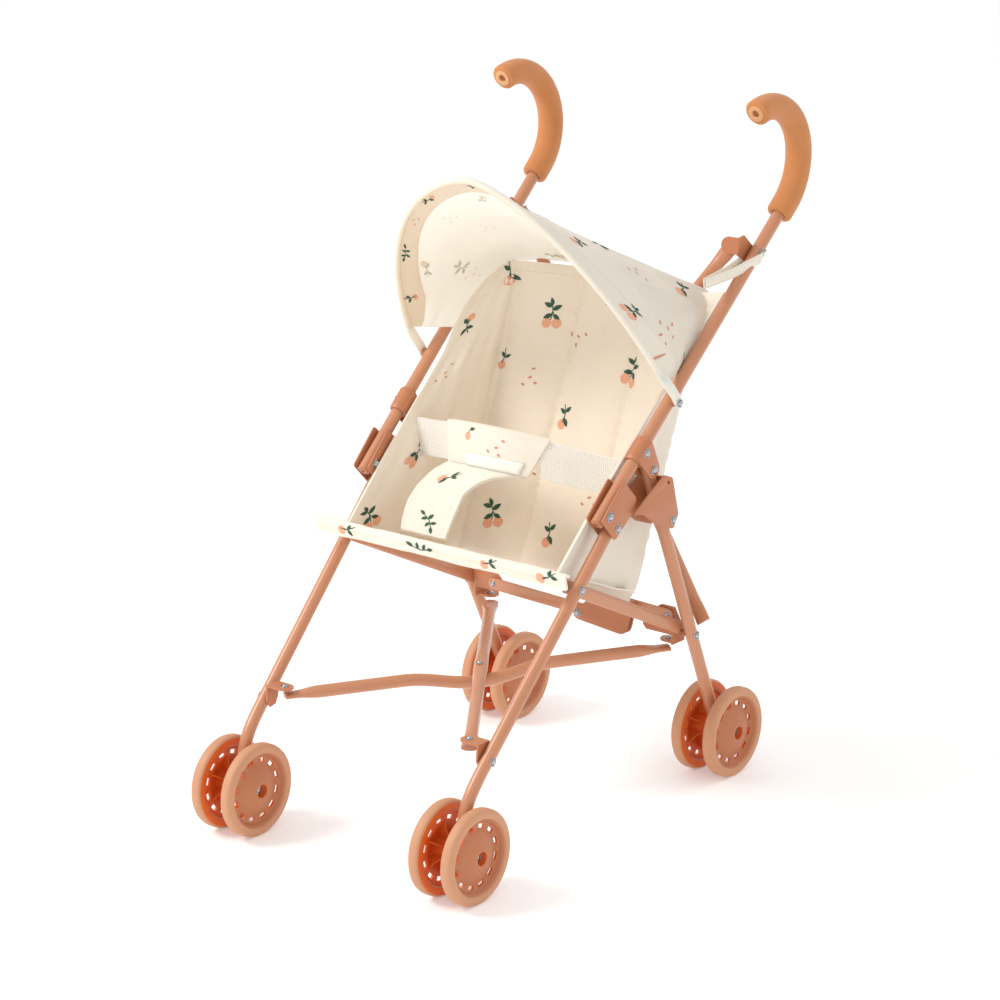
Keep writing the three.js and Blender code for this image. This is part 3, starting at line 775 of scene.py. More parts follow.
def make_legs(side, name):
    front_bend = [
        (-132, 101.9), (-138.4, 95.6), (-144.6, 89.1), (-150.3, 82.6), (-154.9, 76.2), (-158.2, 70),
        (-160.1, 64.4),
    ]
    line = [(13.7, 250.4), (-60, 175.2), *front_bend, beyond(front_bend[-1], FRONT_AXLE, 7)]
    shape = Shape().add(sweep([on_side(side, *p) for p in rounded_run(line)], TUBE_R))
    shape.piece(f"{name}_front_leg_tube", f"{name}_front_leg", [PAINT], [f"{name}_front_leg"])
    line = [beyond(REAR_AXLE, REAR_HINGE, 6), (100, 178), beyond(REAR_HINGE, REAR_AXLE, 7)]
    line[1] = tuple(mix(a, b, 0.5) for a, b in zip(line[0], line[2]))
    shape = Shape().add(sweep([on_side(side, *p) for p in line], TUBE_R))
    shape.piece(f"{name}_rear_leg_tube", f"{name}_rear_leg", [PAINT], [f"{name}_rear_leg"])
    for label, leg, place, size in (
        ("front_leg", "front_leg", (-133.8, 99.3), 0.9),
        ("rail", "front_leg", RAIL_FRONT, 0.95),
        ("rear_lower", "rear_leg", (123.5, 127.7), 0.9),
    ):
        rivet(f"{name}_{label}_rivet", f"{name}_{leg}", on_side(side, *place, 4.7), ALONG_X * side, size)


def rounded_run(line, passes=2):
    """The line with its inner corners cut again and again, ends kept."""
    for _ in range(passes):
        cut = [line[0]]
        for a, b in zip(line, line[1:]):
            near = min(0.25, 3 / math.dist(a, b))
            cut += [tuple(mix(p, q, t) for p, q in zip(a, b)) for t in (near, 1 - near)]
        line = cut[:1] + cut[2:-2] + [line[-1]]
    return line


SLOTS = 12
STEPS_PER_SLOT = 8
OPEN_STEPS = (2, 3, 4, 5)
SLOT_BAND = (21.7, 25.2)
# Radius and place along the axle, away from the leg; the far face first, then back along the near face.
WHEEL_SECTION = (
    (5.4, 6.3), (8.2, 6.4), (9.2, 6.0), (15, 3.7), (20.4, 1.2), (21.7, 0.5), (25.2, 0.3), (26.3, 0.5),
    (27.3, 1.7), (27.9, 2.9), (28.7, 3.3), (29.3, 3.8), (29.9, 4.9), (30.8, 5.1), (33.6, 5.0), (35.2, 4.6),
    (36.3, 3.6), (WHEEL_R, 2.2), (WHEEL_R, -2.4), (36.2, -3.8), (35.0, -4.6), (31, -4.9), (29.6, -4.8),
    (28.6, -4.0), (28.2, -1.9), (25.2, -1.5), (21.7, -1.3), (20.2, -0.7), (15, 1.5), (9.8, 3.6),
    (8.4, 3.4), (8.0, -8.6), (7.4, -9), (3.2, -9), (2.9, -8.6), (2.9, 1.4), (4.9, 1.6), (5.4, 2.2),
)


def wheel_body(centre, out):
    """The wheel's revolved shell with its twelve through slots."""
    sides = SLOTS * STEPS_PER_SLOT
    stations = [
        (centre + out * along / 1000, Vector((0, 1, 0)), UPWARDS, radius) for radius, along in WHEEL_SECTION
    ]
    points, rings = rings_of(stations, sides)
    far = next(i for i, p in enumerate(WHEEL_SECTION) if p[0] == SLOT_BAND[0])
    near = max(i for i, p in enumerate(WHEEL_SECTION) if p[0] == SLOT_BAND[0]) - 1
    faces, finish_of = [], []
    loop = rings + rings[:1]
    for i, (one, other) in enumerate(zip(loop, loop[1:])):
        along = (WHEEL_SECTION[i][1] + WHEEL_SECTION[(i + 1) % len(rings)][1]) / 2
        radius = WHEEL_SECTION[i][0]
        # Tyre, outer face of the disc, and the inside, whose deeper orange is painted light.
        kind = 0 if radius >= 29 and along > -4.75 else 1 if along > -0.9 and i < 18 else 2
        for k in range(sides):
            if i in (far, near) and k % STEPS_PER_SLOT in OPEN_STEPS:
                continue
            faces.append([one[k], one[(k + 1) % sides], other[(k + 1) % sides], other[k]])
            finish_of.append(kind)
    for slot in range(SLOTS):
        first = slot * STEPS_PER_SLOT + OPEN_STEPS[0]
        last = slot * STEPS_PER_SLOT + OPEN_STEPS[-1] + 1
        inner_far, outer_far, outer_near, inner_near = (rings[j] for j in (far, far + 1, near, near + 1))
        for k in range(first, last):
            for a, b in ((inner_far, inner_near), (outer_far, outer_near)):
                faces.append([a[k], a[(k + 1) % sides], b[(k + 1) % sides], b[k]])
        for k in (first, last % sides):
            faces.append([inner_far[k], outer_far[k], outer_near[k], inner_near[k]])
    finish_of += [2] * (len(faces) - len(finish_of))
    return points, faces, finish_of


def wheel_rib(centre, out, angle):
    """One stiffening rib on the near side of the disc, from the hub to the slots."""
    ray = Vector((0, math.cos(angle), math.sin(angle)))
    across = out.cross(ray) * 0.0007
    corners = ((7.6, -7.4), (7.6, 4), (14.8, 1.9), (20.8, -0.6), (21.2, -1.6), (15, -2.6))
    points = [
        centre + ray * radius / 1000 + out * along / 1000 + across * sign
        for sign in (-1, 1)
        for radius, along in corners
    ]
    count = len(corners)
    faces = [list(range(count)), list(range(count, 2 * count))[::-1]]
    faces += [[k, (k + 1) % count, count + (k + 1) % count, count + k] for k in range(count)]
    return points, faces


def make_wheels(side, name, axle):
    centre = on_side(side, *axle)
    leg_body = f"{name}_leg"
    cap = 17.6
    pin = [(0, -cap - 0.6), (2.2, -cap), (2.4, -cap + 0.8), (2.4, cap - 0.8), (2.2, cap), (0, cap + 0.6)]
    shape = Shape().add(revolve(pin, centre, ALONG_X, 28))
    for towards in (-1, 1):
        nut = centre + ALONG_X * towards * 0.0166
        washer = [(2.3, 0), (4.6, 0), (4.7, 0.5), (3.4, 0.9), (3, 1.4), (2.3, 1.4), (2.3, 0)]
        shape.add(revolve(washer, nut, ALONG_X * towards, 28))
    shape.piece(f"{name}_axle_pin", leg_body, [STEEL], [f"{name}_axle"], "bright_steel")
    for place, towards in (("inner", -side), ("outer", side)):
        out = ALONG_X * towards
        middle = centre + out * WHEEL_OFFSET / 1000
        points, faces, finish_of = wheel_body(middle, out)
        wheel = Shape().add((points, faces), finish_of)
        for rib in range(6):
            wheel.add(wheel_rib(middle, out, math.tau * (rib + 0.5) / 6), 2)
        node = f"{name}_{place}_wheel"
        wheel.piece(f"{node}_moulding", node, [TYRE, DISC, WHEEL_INSIDE_PAINTED_LIGHT], [node], "wheel_plastic")


# ---------------------------------------------------------------- cross bars, rails and spreader

BACK_BAR_FACE = Vector((0, 0.9874, -0.1584))


def pressed_bar(start, end, thin_axis, steps, profile, sides=28):
    """A round tube pressed flat in places. profile(s) gives its width, thickness and rise."""
    run = (end - start) * 1000
    length, ahead = run.length, run.normalized()
    wide = thin_axis.cross(ahead).normalized()
    thin = ahead.cross(wide)
    stations = []
    for i in range(steps + 1):
        s = length * i / steps
        width, thickness, rise = profile(s, length)
        middle = start + (ahead * s + thin * rise) / 1000
        stations.append((middle, wide * width, thin * thickness, TUBE_R))
    points, rings = rings_of(stations, sides)
    return capped(points, rings, False)


def flat_ends(s, length, flat, thickness, width):
    roundness = smooth((min(s, length - s) - flat) / 18)
    return mix(width, 1, roundness), mix(thickness, 1, roundness)


def hump(s, length):
    return 0.5 + 0.5 * math.cos(min(abs(s - length / 2) / 62, 1) * math.pi)


def make_cross_bars(side, name):
    start = at(side * FRONT_EAR[0], FRONT_EAR[1], 104.2)
    end = at(-side * REAR_EAR[0], REAR_EAR[1], 112.9)
    rise = -8.6 if side < 0 else 3.6
    pressed = 0 if side < 0 else 0.42

    def lower(s, length):
        width, thickness = flat_ends(s, length, 8, 0.48, 1.3)
        middle = hump(s, length)
        return width + pressed * 0.3 * middle**3, thickness - pressed * middle**3, rise * middle

    body = f"{name}_lower_bar"
    shape = Shape().add(pressed_bar(start, end, UPWARDS, 64, lower))
    shape.piece(f"{name}_lower_bar_tube", body, [PAINT], [f"{name}_lower_cross_bar"])
    top = at(side * 104, 178, 430)
    foot = at(-side * 116, 131, 137)

    def back(s, length):
        width, thickness = flat_ends(s, length, 8, 0.42, 1.3)
        return width, thickness, side * 6.4 * hump(s, length)

    shape = Shape().add(pressed_bar(top, foot, BACK_BAR_FACE, 64, back))
    shape.piece(f"{name}_back_bar_tube", f"{name}_back_bar", [PAINT], [f"{name}_back_cross_bar"])
    rail_start = on_side(side, *beyond(RAIL_REAR, RAIL_FRONT, 5.5), -8)
    rail_end = on_side(side, *beyond(RAIL_FRONT, RAIL_REAR, 2), -8)

    def rail(s, length):
        thickness = flat_ends(s, length, 12, 0.3, 1)[1]
        return 1.05, min(thickness, 0.54), 0

    shape = Shape().add(pressed_bar(rail_start, rail_end, ALONG_X, 40, rail))
    shape.piece(f"{name}_rail_bar", f"{name}_rail", [PAINT], [f"{name}_side_rail"])


def make_bar_rivets(side, name):
    for leg, (x, y), z in (("front", FRONT_EAR, 111.6), ("rear", REAR_EAR, 121)):
        rivet(f"{name}_{leg}_ear_rivet", f"{name}_{leg}_leg", at(side * x, y, z), UPWARDS, 0.85)
    place = on_side(side, 188.7, 424.2, 4.8)
    rivet(f"{name}_top_bracket_rivet", f"{name}_frame", place, ALONG_X * side, 0.95)


def make_crossing_rivets():
    rivet("lower_crossing_rivet", "right_lower_bar", at(-0.5, -5.2, 105), UPWARDS, 0.8, (), 10.2)
    rivet("back_crossing_rivet", "right_back_bar", at(-6, 154.5, 283.5), -BACK_BAR_FACE, 0.8, (), 11.6)


def link_outline(first, last, radius):
    return hull([*circle(first, radius), *circle(last, radius)])


def front_place(x, z, y):
    return at(x, y, z)


def make_spreader():
    joint, left_pivot, right_pivot = (14, 131.3), (-77.4, 134.4), (96, 144.5)
    for name, body, outline in (
        ("left_spreader", "left_spreader", link_outline(left_pivot, joint, 5)),
        ("right_spreader", "right_spreader", link_outline((48, 146), right_pivot, 4.6)),
    ):
        shape = Shape().add(plate(outline, (), 109.2, 111.4, front_place, 0.4))
        shape.piece(f"{name}_strap", body, [PAINT], [f"{name}_link"])
    lever = rounded(
        [
            (9.4, 132), (10.4, 127.2), (14, 125.6), (56, 121.6), (61, 123.4), (63, 128), (66.5, 143.5),
            (66, 150.6), (55, 150.6), (52, 153.4), (33, 153.4), (30.5, 149.6), (15, 136.6),
        ],
        2,
    )
    shape = Shape().add(plate(lever, (), 101.6, 103.6, front_place, 0.5))
    shape.add(plate(lever, (), 107.2, 109.1, front_place, 0.5))
    rim = rounded([(33, 153.4), (52, 153.4), (55, 150.6), (66, 150.6), (65.5, 146), (31, 147)], 1.5)
    shape.add(plate(rim, (), 101.8, 109, front_place, 0.6))
    shape.piece("foot_lever", "right_spreader", [BRACKET_PAINT_AND_SHADE], ["spreader_lever"])
    ahead = Vector((0, -1, 0))
    rivet("spreader_joint_rivet", "right_spreader", at(14, 101.7, 131.3), ahead, 0.85)
    for number, (x, z) in enumerate(((53, 146.7), (61.5, 147.6))):
        rivet(f"lever_rivet_{number + 1}", "right_spreader", at(x, 101.8, z), ahead, 0.5)
    rivet("left_spreader_rivet", "left_rear_leg", at(-77.4, 109.4, 134.4), ahead, 0.75)
    rivet("right_spreader_rivet", "right_rear_leg", at(96, 109.4, 144.5), ahead, 0.7)


def finish_kept_nodes():
    """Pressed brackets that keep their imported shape."""
    for name in ("left", "right"):
        for part in ("front_bar_bracket", "rear_bar_bracket", "top_bar_bracket"):
            node = NODES[f"{name}_{part}"]
            node.data.materials.clear()
            node.data.materials.append(BRACKET_PAINT_AND_SHADE.material)
            soften = node.modifiers.new("soft_edges", "BEVEL")
            soften.width, soften.segments, soften.limit_method = 0.00025, 2, "ANGLE"
            soften.angle_limit = math.radians(40)
            soften.harden_normals = False
            node.data.shade_smooth()
            node.data.set_sharp_from_angle(angle=math.radians(30))


# ---------------------------------------------------------------- cloth


def grid_faces(columns, rows, first=0):
    """Faces of a grid whose points are numbered row by row from first."""
    wide = columns + 1
    corners = (0, 1, wide + 1, wide)
    return [
        [first + j * wide + i + corner for corner in corners] for j in range(rows) for i in range(columns)
    ]


def wobble(u, v, scale_u, scale_v, seed):
    return noise.noise(Vector((u * scale_u, v * scale_v, seed)))


class Cloth:
    """A cloth with a face and a reverse: a surface(u, v), and a relief and thickness along its normal."""

    def __init__(self, surface, relief, thickness):
        self.surface, self.relief, self.thickness = surface, relief, thickness

    def runs(self, u, v, nudge):
        """How the bare cloth runs across and down between the places either side of a point."""
        across = self.surface(min(u + nudge, 1), v) - self.surface(max(u - nudge, 0), v)
        down = self.surface(u, min(v + nudge, 1)) - self.surface(u, max(v - nudge, 0))
        return across, down

    def bare_normal(self, u, v):
        across, down = self.runs(u, v, 2e-3)
        return down.cross(across).normalized()

    def point(self, u, v, lift=0.0, side=1):
        """lift stands proud of the face, or of the reverse with side -1."""
        u, v = min(max(u, 0), 1), min(max(v, 0), 1)
        half = self.thickness(u, v) / 2
        offset = self.relief(u, v) + side * (half + lift)
        place = self.surface(u, v) + self.bare_normal(u, v) * offset
        return at(*place)

    def scale(self, u, v):
        """Millimetres of cloth for a whole step of u and of v near a point."""
        nudge = 0.01
        across, down = self.runs(u, v, nudge)
        return (
            across.length / (min(u + nudge, 1) - max(u - nudge, 0)),
            down.length / (min(v + nudge, 1) - max(v - nudge, 0)),
        )

    def shell(self, columns, rows, reverse=1, hem=None):
        """The cloth's shell. hem(u, v) picks the faces of the reverse that have the face's finish."""
        width, length = self.scale(0.5, 0.5)
        points, cloth_at = [], []
        for side in (1, -1):
            for j in range(rows + 1):
                for i in range(columns + 1):
                    u, v = i / columns, j / rows
                    points.append(self.point(u, v, 0, side))
                    cloth_at.append((u * width / 1000, v * length / 1000))
        count = (columns + 1) * (rows + 1)

        def number(i, j, back):
            return back * count + j * (columns + 1) + i

        faces = grid_faces(columns, rows) + grid_faces(columns, rows, count)
        finish_of = [0] * (columns * rows)
        for j in range(rows):
            for i in range(columns):
                own = hem and hem((i + 0.5) / columns, (j + 0.5) / rows)
                finish_of.append(2 if own else reverse)
        border = [(i, 0) for i in range(columns)] + [(columns, j) for j in range(rows)]
        border += [(i, rows) for i in range(columns, 0, -1)] + [(0, j) for j in range(rows, 0, -1)]
        for a, b in zip(border, border[1:] + border[:1]):
            faces.append([number(*a, 0), number(*b, 0), number(*b, 1), number(*a, 1)])
            finish_of.append(0)
        return (points, faces), finish_of, cloth_at


def fold_with_frame(piece):
    """Gives the piece its own copy of its mesh."""
    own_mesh(piece)
    return piece


SHEETS = []


def note_sheet(piece, flat, area, on_it):
    """Keeps a cloth, its flat size and what is printed or sewn on it."""
    SHEETS.append((piece, flat, area, [p for p in on_it if p]))


def lay_cloth(cloth, name, body, columns, rows, finishes, replaced, slot="printed_cotton", **how):
    made, finish_of, cloth_at = cloth.shell(columns, rows, **how)
    shape = Shape().add(made, finish_of, cloth_at)
    piece = shape.piece(name, body, finishes, replaced, slot, sharp=60)
    return fold_with_frame(piece)


# ---------------------------------------------------------------- print and stitching


class Print:
    """Flat shapes laid on a cloth a hair above its face."""

    def __init__(self, cloth, lift=0.16, side=1):
        self.cloth, self.lift, self.side = cloth, lift, side
        self.shape = Shape()

    def lay(self, u, v, spots, edge, faces, finish, lift):
        """Faces between spots in millimetres round (u, v), left out where they would run off the cloth."""
        width, length = self.cloth.scale(u, v)
        flat = [(u + x / width, v + y / length) for x, y in spots]
        if not all(edge < a < 1 - edge and edge < b < 1 - edge for a, b in flat):
            return
        points = [self.cloth.point(a, b, self.lift + lift, self.side) for a, b in flat]
        cloth_at = [(a * width / 1000, b * length / 1000) for a, b in flat]
        self.shape.add((points, faces), finish, cloth_at)

    def patch(self, u, v, outline, finish, lift=0.0):
        """A fan from the middle of an outline in millimetres round (u, v)."""
        line = [Vector(p) for p in outline]
        middle = sum(line, Vector((0, 0))) / len(line)
        count = len(line)
        faces = [[0, 1 + k, 1 + (k + 1) % count] for k in range(count)]
        self.lay(u, v, [middle, *line], 0.01, faces, finish, lift)

    def strip(self, u, v, line, breadth, finish, lift=0.0):
        """A narrow band along a line in millimetres round (u, v)."""
        spots = []
        for i, p in enumerate(line):
            here = Vector(p)
            ahead = Vector(line[min(i + 1, len(line) - 1)]) - Vector(line[max(i - 1, 0)])
            across = Vector((-ahead.y, ahead.x)).normalized() * breadth / 2
            spots += [here + across, here - across]
        faces = [[2 * k, 2 * k + 1, 2 * k + 3, 2 * k + 2] for k in range(len(line) - 1)]
        self.lay(u, v, spots, 0, faces, finish, lift)

    def piece(self, name, body, finishes=None):
        if not self.shape.faces:
            return None
        finishes = finishes or [LEAF, FRUIT, MARK]
        made = self.shape.piece(name, body, finishes, (), "printed_cotton", closed=False)
        return fold_with_frame(made)


def turned(points, angle, shift=(0, 0), scale=1.0):
    c, s = math.cos(angle), math.sin(angle)
    return [
        (shift[0] + scale * (x * c - y * s), shift[1] + scale * (x * s + y * c)) for x, y in points
    ]


LEAF_LINE = [
    (length * t, sign * breadth * math.sin(math.pi * t**0.8) ** 0.9)
    for sign, stops in ((1, range(0, 9)), (-1, range(7, 0, -1)))
    for length, breadth, t in [(6.4, 1.55, k / 8) for k in stops]
]
FRUIT_LINE = [
    (3.1 * math.cos(a) * (1 + 0.05 * math.cos(2 * a)), 3.3 * math.sin(a))
    for a in (math.tau * k / 18 for k in range(18))
]
MARK_LINE = [(1.5 * math.cos(a), 0.75 * math.sin(a)) for a in (math.tau * k / 8 for k in range(8))]
DASH_LINE = [(1.0 * math.cos(a), 0.24 * math.sin(a)) for a in (math.tau * k / 8 for k in range(8))]
TWIG_LINE = [(-1.5, -8.5), (-0.4, -5), (0.2, -2), (-0.3, 1), (-0.8, 3.5)]
# Leaves of each sprig as (x, y, direction, size) and its fruits as (x, y, size).
SPRIGS = {
    "pair": (
        [(-0.6, -5, 205, 1), (0, -3, -28, 1.05), (0, -6, 250, 0.85), (-0.3, 0, 160, 1), (0.6, 0, 35, 0.9)],
        [(-3.6, 5.4, 1), (3.4, 5.6, 1.05)],
    ),
    "single": ([(0, -2.5, 215, 0.9), (0.3, -3.5, -50, 0.85), (0.2, 0.5, 60, 0.95)], [(-1.6, 4.6, 1)]),
    "branch": (
        [(-1.4, -8, 250, 0.8), (-0.4, -5, 195, 0.8), (0, -4, -20, 0.85), (0, -1, 165, 0.8),
         (0.1, 0, 20, 0.8), (-0.8, 3, 110, 0.9)],
        [],
    ),
    "berry": ([(0, -2, 230, 0.7), (0.4, -2, -35, 0.75)], [(0.2, 3, 0.85)]),
}


def print_sprig(cotton_print, u, v, kind, degrees, size=1.25, leaf=0, fruit=1):
    angle = math.radians(degrees)
    if kind == "marks":
        for x, y, lean in ((-4, 4, 20), (0, -1, -30), (4.5, 2.5, 10), (1.2, -7, -10)):
            (spot,) = turned([(x, y)], angle, (0, 0), size)
            cotton_print.patch(u, v, turned(MARK_LINE, angle + math.radians(lean), spot, size), 2)
        return
    leaves, fruits = SPRIGS[kind]
    for x, y, grow in fruits:
        (spot,) = turned([(x, y)], angle, (0, 0), size)
        cotton_print.patch(u, v, turned(FRUIT_LINE, angle, spot, size * grow), fruit)
    cotton_print.strip(u, v, turned(TWIG_LINE, angle, (0, 0), size), 0.65 * size, leaf, 0.05)
    for x, y, grow in fruits:
        stalk = turned([(0.2, -2), (x * 0.5, y * 0.3 - 0.5), (x, y - 2.6 * grow)], angle, (0, 0), size)
        cotton_print.strip(u, v, stalk, 0.5 * size, leaf, 0.05)
    for x, y, lean, grow in leaves:
        (spot,) = turned([(x, y)], angle, (0, 0), size)
        blade = turned(LEAF_LINE, angle + math.radians(lean), spot, size * grow)
        cotton_print.patch(u, v, blade, leaf, 0.08)


def scatter_sprigs(cotton_print, placed, seed, spacing, edge=9.0, region=((0, 1), (0, 1))):
    """Sprigs at the listed places, then more wherever the cloth still has room."""
    for u, v, kind, degrees in placed:
        print_sprig(cotton_print, u, v, kind, degrees)
    draw = random.Random(seed)
    width, length = cotton_print.cloth.scale(0.5, 0.5)
    taken = [cotton_print.cloth.surface(u, v) for u, v, _, _ in placed]
    (left, right), (top, bottom) = region
    kinds = ["pair", "marks", "single", "branch", "marks", "berry"]
    for _ in range(900):
        u, v = mix(left, right, draw.random()), mix(top, bottom, draw.random())
        kind, degrees = kinds[len(taken) % len(kinds)], draw.uniform(-180, 180)
        inside = edge / width < u < 1 - edge / width and edge / length < v < 1 - edge / length
        spot = cotton_print.cloth.surface(u, v)
        if inside and all(math.dist(spot, other) > spacing for other in taken):
            taken.append(spot)
            print_sprig(cotton_print, u, v, kind, degrees)


def stitch_row(stitches, line, pitch=3.0):
    """Short raised thread dashes along a line of (u, v) places."""
    cloth = stitches.cloth
    for (u0, v0), (u1, v1) in zip(line, line[1:]):
        width, length = cloth.scale((u0 + u1) / 2, (v0 + v1) / 2)
        run = math.hypot((u1 - u0) * width, (v1 - v0) * length)
        for k in range(int(run / pitch)):
            t = (k + 0.5) * pitch / run
            u, v = mix(u0, u1, t), mix(v0, v1, t)
            lean = math.atan2((v1 - v0) * length, (u1 - u0) * width)
            stitches.patch(u, v, turned(DASH_LINE, lean), 0)


# ---------------------------------------------------------------- sun hood

HOOD_CLOTH = 0.8
BOW_TILT = 120
REAR_TILT = 43
HEM_WIDTH = 28
PIPING = 2.7


def bow_curve(angle, inset=0.0):
    """The bow's line, fuller on the left than on the right: x and distance from the pivots."""
    c, s = math.cos(angle), abs(math.sin(angle))
    share = smooth((c + 1) / 2)
    power = mix(1.08, 1.28, share)
    return math.copysign((mix(132, 120, share) - inset) * abs(c) ** power, c), (200 - inset) * s**power


def about_pivot(x, reach, degrees, back=0.0):
    angle = math.radians(degrees)
    y = HOOD_PIVOT[0] + reach * math.cos(angle) + back * math.sin(angle)
    z = HOOD_PIVOT[1] + reach * math.sin(angle) - back * math.cos(angle)
    return Vector((x, y, z))


def hood_surface(across, back):
    turn = math.pi * across
    bow_x, bow_reach = bow_curve(mix(0.16, math.pi - 0.16, across))
    rear_x = math.copysign(110.4 * abs(math.cos(turn)) ** 0.36, math.cos(turn))
    rear_reach = 27 + 90 * abs(math.sin(turn)) ** 0.5
    front = about_pivot(bow_x, bow_reach, BOW_TILT, -2.2)
    rear = about_pivot(rear_x, rear_reach, REAR_TILT - 8 * abs(math.sin(turn)) ** 0.5)
    return front.lerp(rear, back)


def hood_relief(across, back):
    """Slack between the bow and the seat: shallow valleys that fan out from the rear corners."""
    slack = math.sin(math.pi * min(max(back, 0), 1)) ** 1.2
    dip = -2.2 * math.sin(math.pi * across)
    return slack * (dip + 1.5 * wobble(across, back, 9, 3.2, 4.1) + 0.7 * wobble(across, back, 22, 7, 9.4))


HOOD_BANDS = {"front": (0, 0.4), "middle": (0.4, 0.7), "rear": (0.7, 1)}
HOOD_BODIES = {"front": "hood", "middle": "hood_middle", "rear": "left_frame"}
# Each panel's flat size and flat area, in metres.
HOOD_CUTS = {
    "front": ((0.437, 0.085), 0.0198),
    "middle": ((0.369, 0.062), 0.0149),
    "rear": ((0.358, 0.062), 0.0156),
}
# Printed sprigs as (place across, place down, kind, direction in degrees).
HOOD_SPRIGS = {
    "front": [
        (0.4, 0.445, "single", 120), (0.314, 0.71, "single", 150), (0.143, 0.4, "pair", 170),
        (0.6, 0.6, "pair", 200), (0.83, 0.45, "single", 160),
    ],
    "middle": [
        (0.271, 0.43, "marks", 0), (0.1, 0.3, "marks", 30), (0.5, 0.5, "branch", 60),
        (0.75, 0.4, "pair", 190),
    ],
    "rear": [(0.257, 0.33, "single", 130), (0.6, 0.5, "single", 20)],
}
HEM_SPRIGS = [
    (0.829, 0.22, "branch", 90), (0.66, 0.22, "single", 70), (0.94, 0.25, "berry", 10),
    (0.74, 0.24, "marks", 0),
    (0.5, 0.24, "berry", 90), (0.32, 0.22, "branch", 80), (0.15, 0.24, "single", 100),
]
HOOD_STITCHES = {
    "front": [(k / 40, 0.47) for k in range(2, 39)],
    "middle": [],
    "rear": [(k / 40, 0.86) for k in range(41)],
}


def hood_run(across):
    """Millimetres of cloth from the bow to the rear edge."""
    return (hood_surface(across, 1) - hood_surface(across, 0)).length


def hood_cloth(start, end):
    def share(u, v):
        """How far back v lies; half of the front panel's rows are its hem."""
        if start > 0:
            return mix(start, end, v)
        hem = min(HEM_WIDTH / hood_run(u), 0.34)
        return mix(0, hem, v * 2) if v < 0.5 else mix(hem, end, v * 2 - 1)

    def thickness(u, v):
        back = share(u, v) * hood_run(u)
        hem = 1 - smooth((back - HEM_WIDTH) / 2)
        edge = smooth((back - hood_run(u) + 9) / 2)
        side = smooth((abs(2 * u - 1) - 0.95) / 0.02)
        round_bow = 2 * PIPING * math.sqrt(max(1 - (back / PIPING - 1) ** 2, 0.16))
        return max(HOOD_CLOTH + 0.8 * max(hem, edge, side), round_bow if back < 1.9 * PIPING else 0)

    return Cloth(
        lambda u, v: hood_surface(u, share(u, v)),
        lambda u, v: hood_relief(u, share(u, v)),
        thickness,
    )


def make_hood():
    for name, (start, end) in HOOD_BANDS.items():
        cloth = hood_cloth(start, end)
        body = HOOD_BODIES[name]
        rows = round((end - start) * 110)
        finishes = [COTTON, LINING_WITH_PAINTED_GLOW, HEM_COTTON]
        panel = lay_cloth(
            cloth, f"hood_{name}_cloth", body, 110, rows, finishes, [f"hood_{name}_panel"],
            hem=lambda u, v, s=start: s == 0 and v < 0.5,
        )
        pattern = Print(cloth)
        scatter_sprigs(pattern, HOOD_SPRIGS[name], 11 + len(name), 40)
        inks = [pattern.piece(f"hood_{name}_print", body)]
        if name == "front":
            hem_pattern = Print(cloth, 0.12, -1)
            for spot in HEM_SPRIGS:
                print_sprig(hem_pattern, *spot, size=1.1)
            inks.append(hem_pattern.piece("hood_hem_print", body))
        ghost = Print(cloth, 0.12, -1)
        region = ((0.12, 0.88), (0.6, 1)) if name == "front" else ((0, 1), (0, 1))
        scatter_sprigs(ghost, [], 31 + len(name), 52, region=region)
        faint = [FAINT_LEAF, FAINT_FRUIT, FAINT_FRUIT]
        inks.append(ghost.piece(f"hood_{name}_show_through", body, faint))
        for side, label in ((1, "outer"), (-1, "inner")):
            stitches = Print(cloth, 0.05, side)
            stitch_row(stitches, HOOD_STITCHES[name])
            inks.append(stitches.piece(f"hood_{name}_{label}_stitches", body, [THREAD]))
        note_sheet(panel, *HOOD_CUTS[name], inks)


def make_bow():
    """The flexible stay that holds the hood's front edge, wider where it shows at its feet."""
    steps, foot = 72, 5
    middle_line = [(124.8, -foot + k * foot / 4) for k in range(4)]
    for i in range(steps + 1):
        x, reach = bow_curve(math.pi * i / steps, 0.4)
        middle_line.append((mix(math.copysign(124.8, x), x, smooth(reach / 36)), reach))
    middle_line += [(-124.8, -k * foot / 4) for k in range(1, 5)]
    stations = []
    last = len(middle_line) - 1
    for i, (x, reach) in enumerate(middle_line):
        before, after = Vector(middle_line[max(i - 1, 0)]), Vector(middle_line[min(i + 1, last)])
        ahead = (after - before).normalized()
        outward = Vector((ahead.y, -ahead.x))
        end_share = min(i, last - i)
        depth = mix(3.9, 1.4, smooth((reach - 22) / 10))
        depth *= math.sqrt(1 - (1 - min(end_share / 4, 1)) ** 2) if end_share < 4 else 1
        depth = max(depth, 0.6)
        ring = []
        for corner_out, corner_deep in (
            (0.8, -1), (0.8, 1), (0.5, 1.12), (-0.5, 1.12), (-0.8, 1), (-0.8, -1), (-0.5, -1.12),
            (0.5, -1.12),
        ):
            spot = Vector((x, reach)) + outward * corner_out
            ring.append(at(*about_pivot(spot.x, spot.y, BOW_TILT, corner_deep * depth)))
        stations.append(ring)
    points = [p for ring in stations for p in ring]
    rings = [list(range(8 * i, 8 * i + 8)) for i in range(len(stations))]
    shape = Shape().add(capped(points, rings, False))
    bow = shape.piece("hood_stay", "hood", [STAY], ["hood_bow"], "hood_plastic", sharp=50)
    fold_with_frame(bow)
    for side, name in SIDES:
        centre = at(side * 126.2, *HOOD_PIVOT)
        boss = [(0, -11), (2.6, -11), (3.4, -9.5), (3.4, -3), (2.8, -2.2), (0, -2.2)]
        shape = Shape().add(revolve(boss, centre, ALONG_X * side, 28))
        shape.piece(f"{name}_hood_boss", f"{name}_frame", [BRACKET_PAINT_AND_SHADE], [f"{name}_hood_clip"])
        rivet(f"{name}_hood_rivet", f"{name}_frame", centre, ALONG_X * side, 0.85)


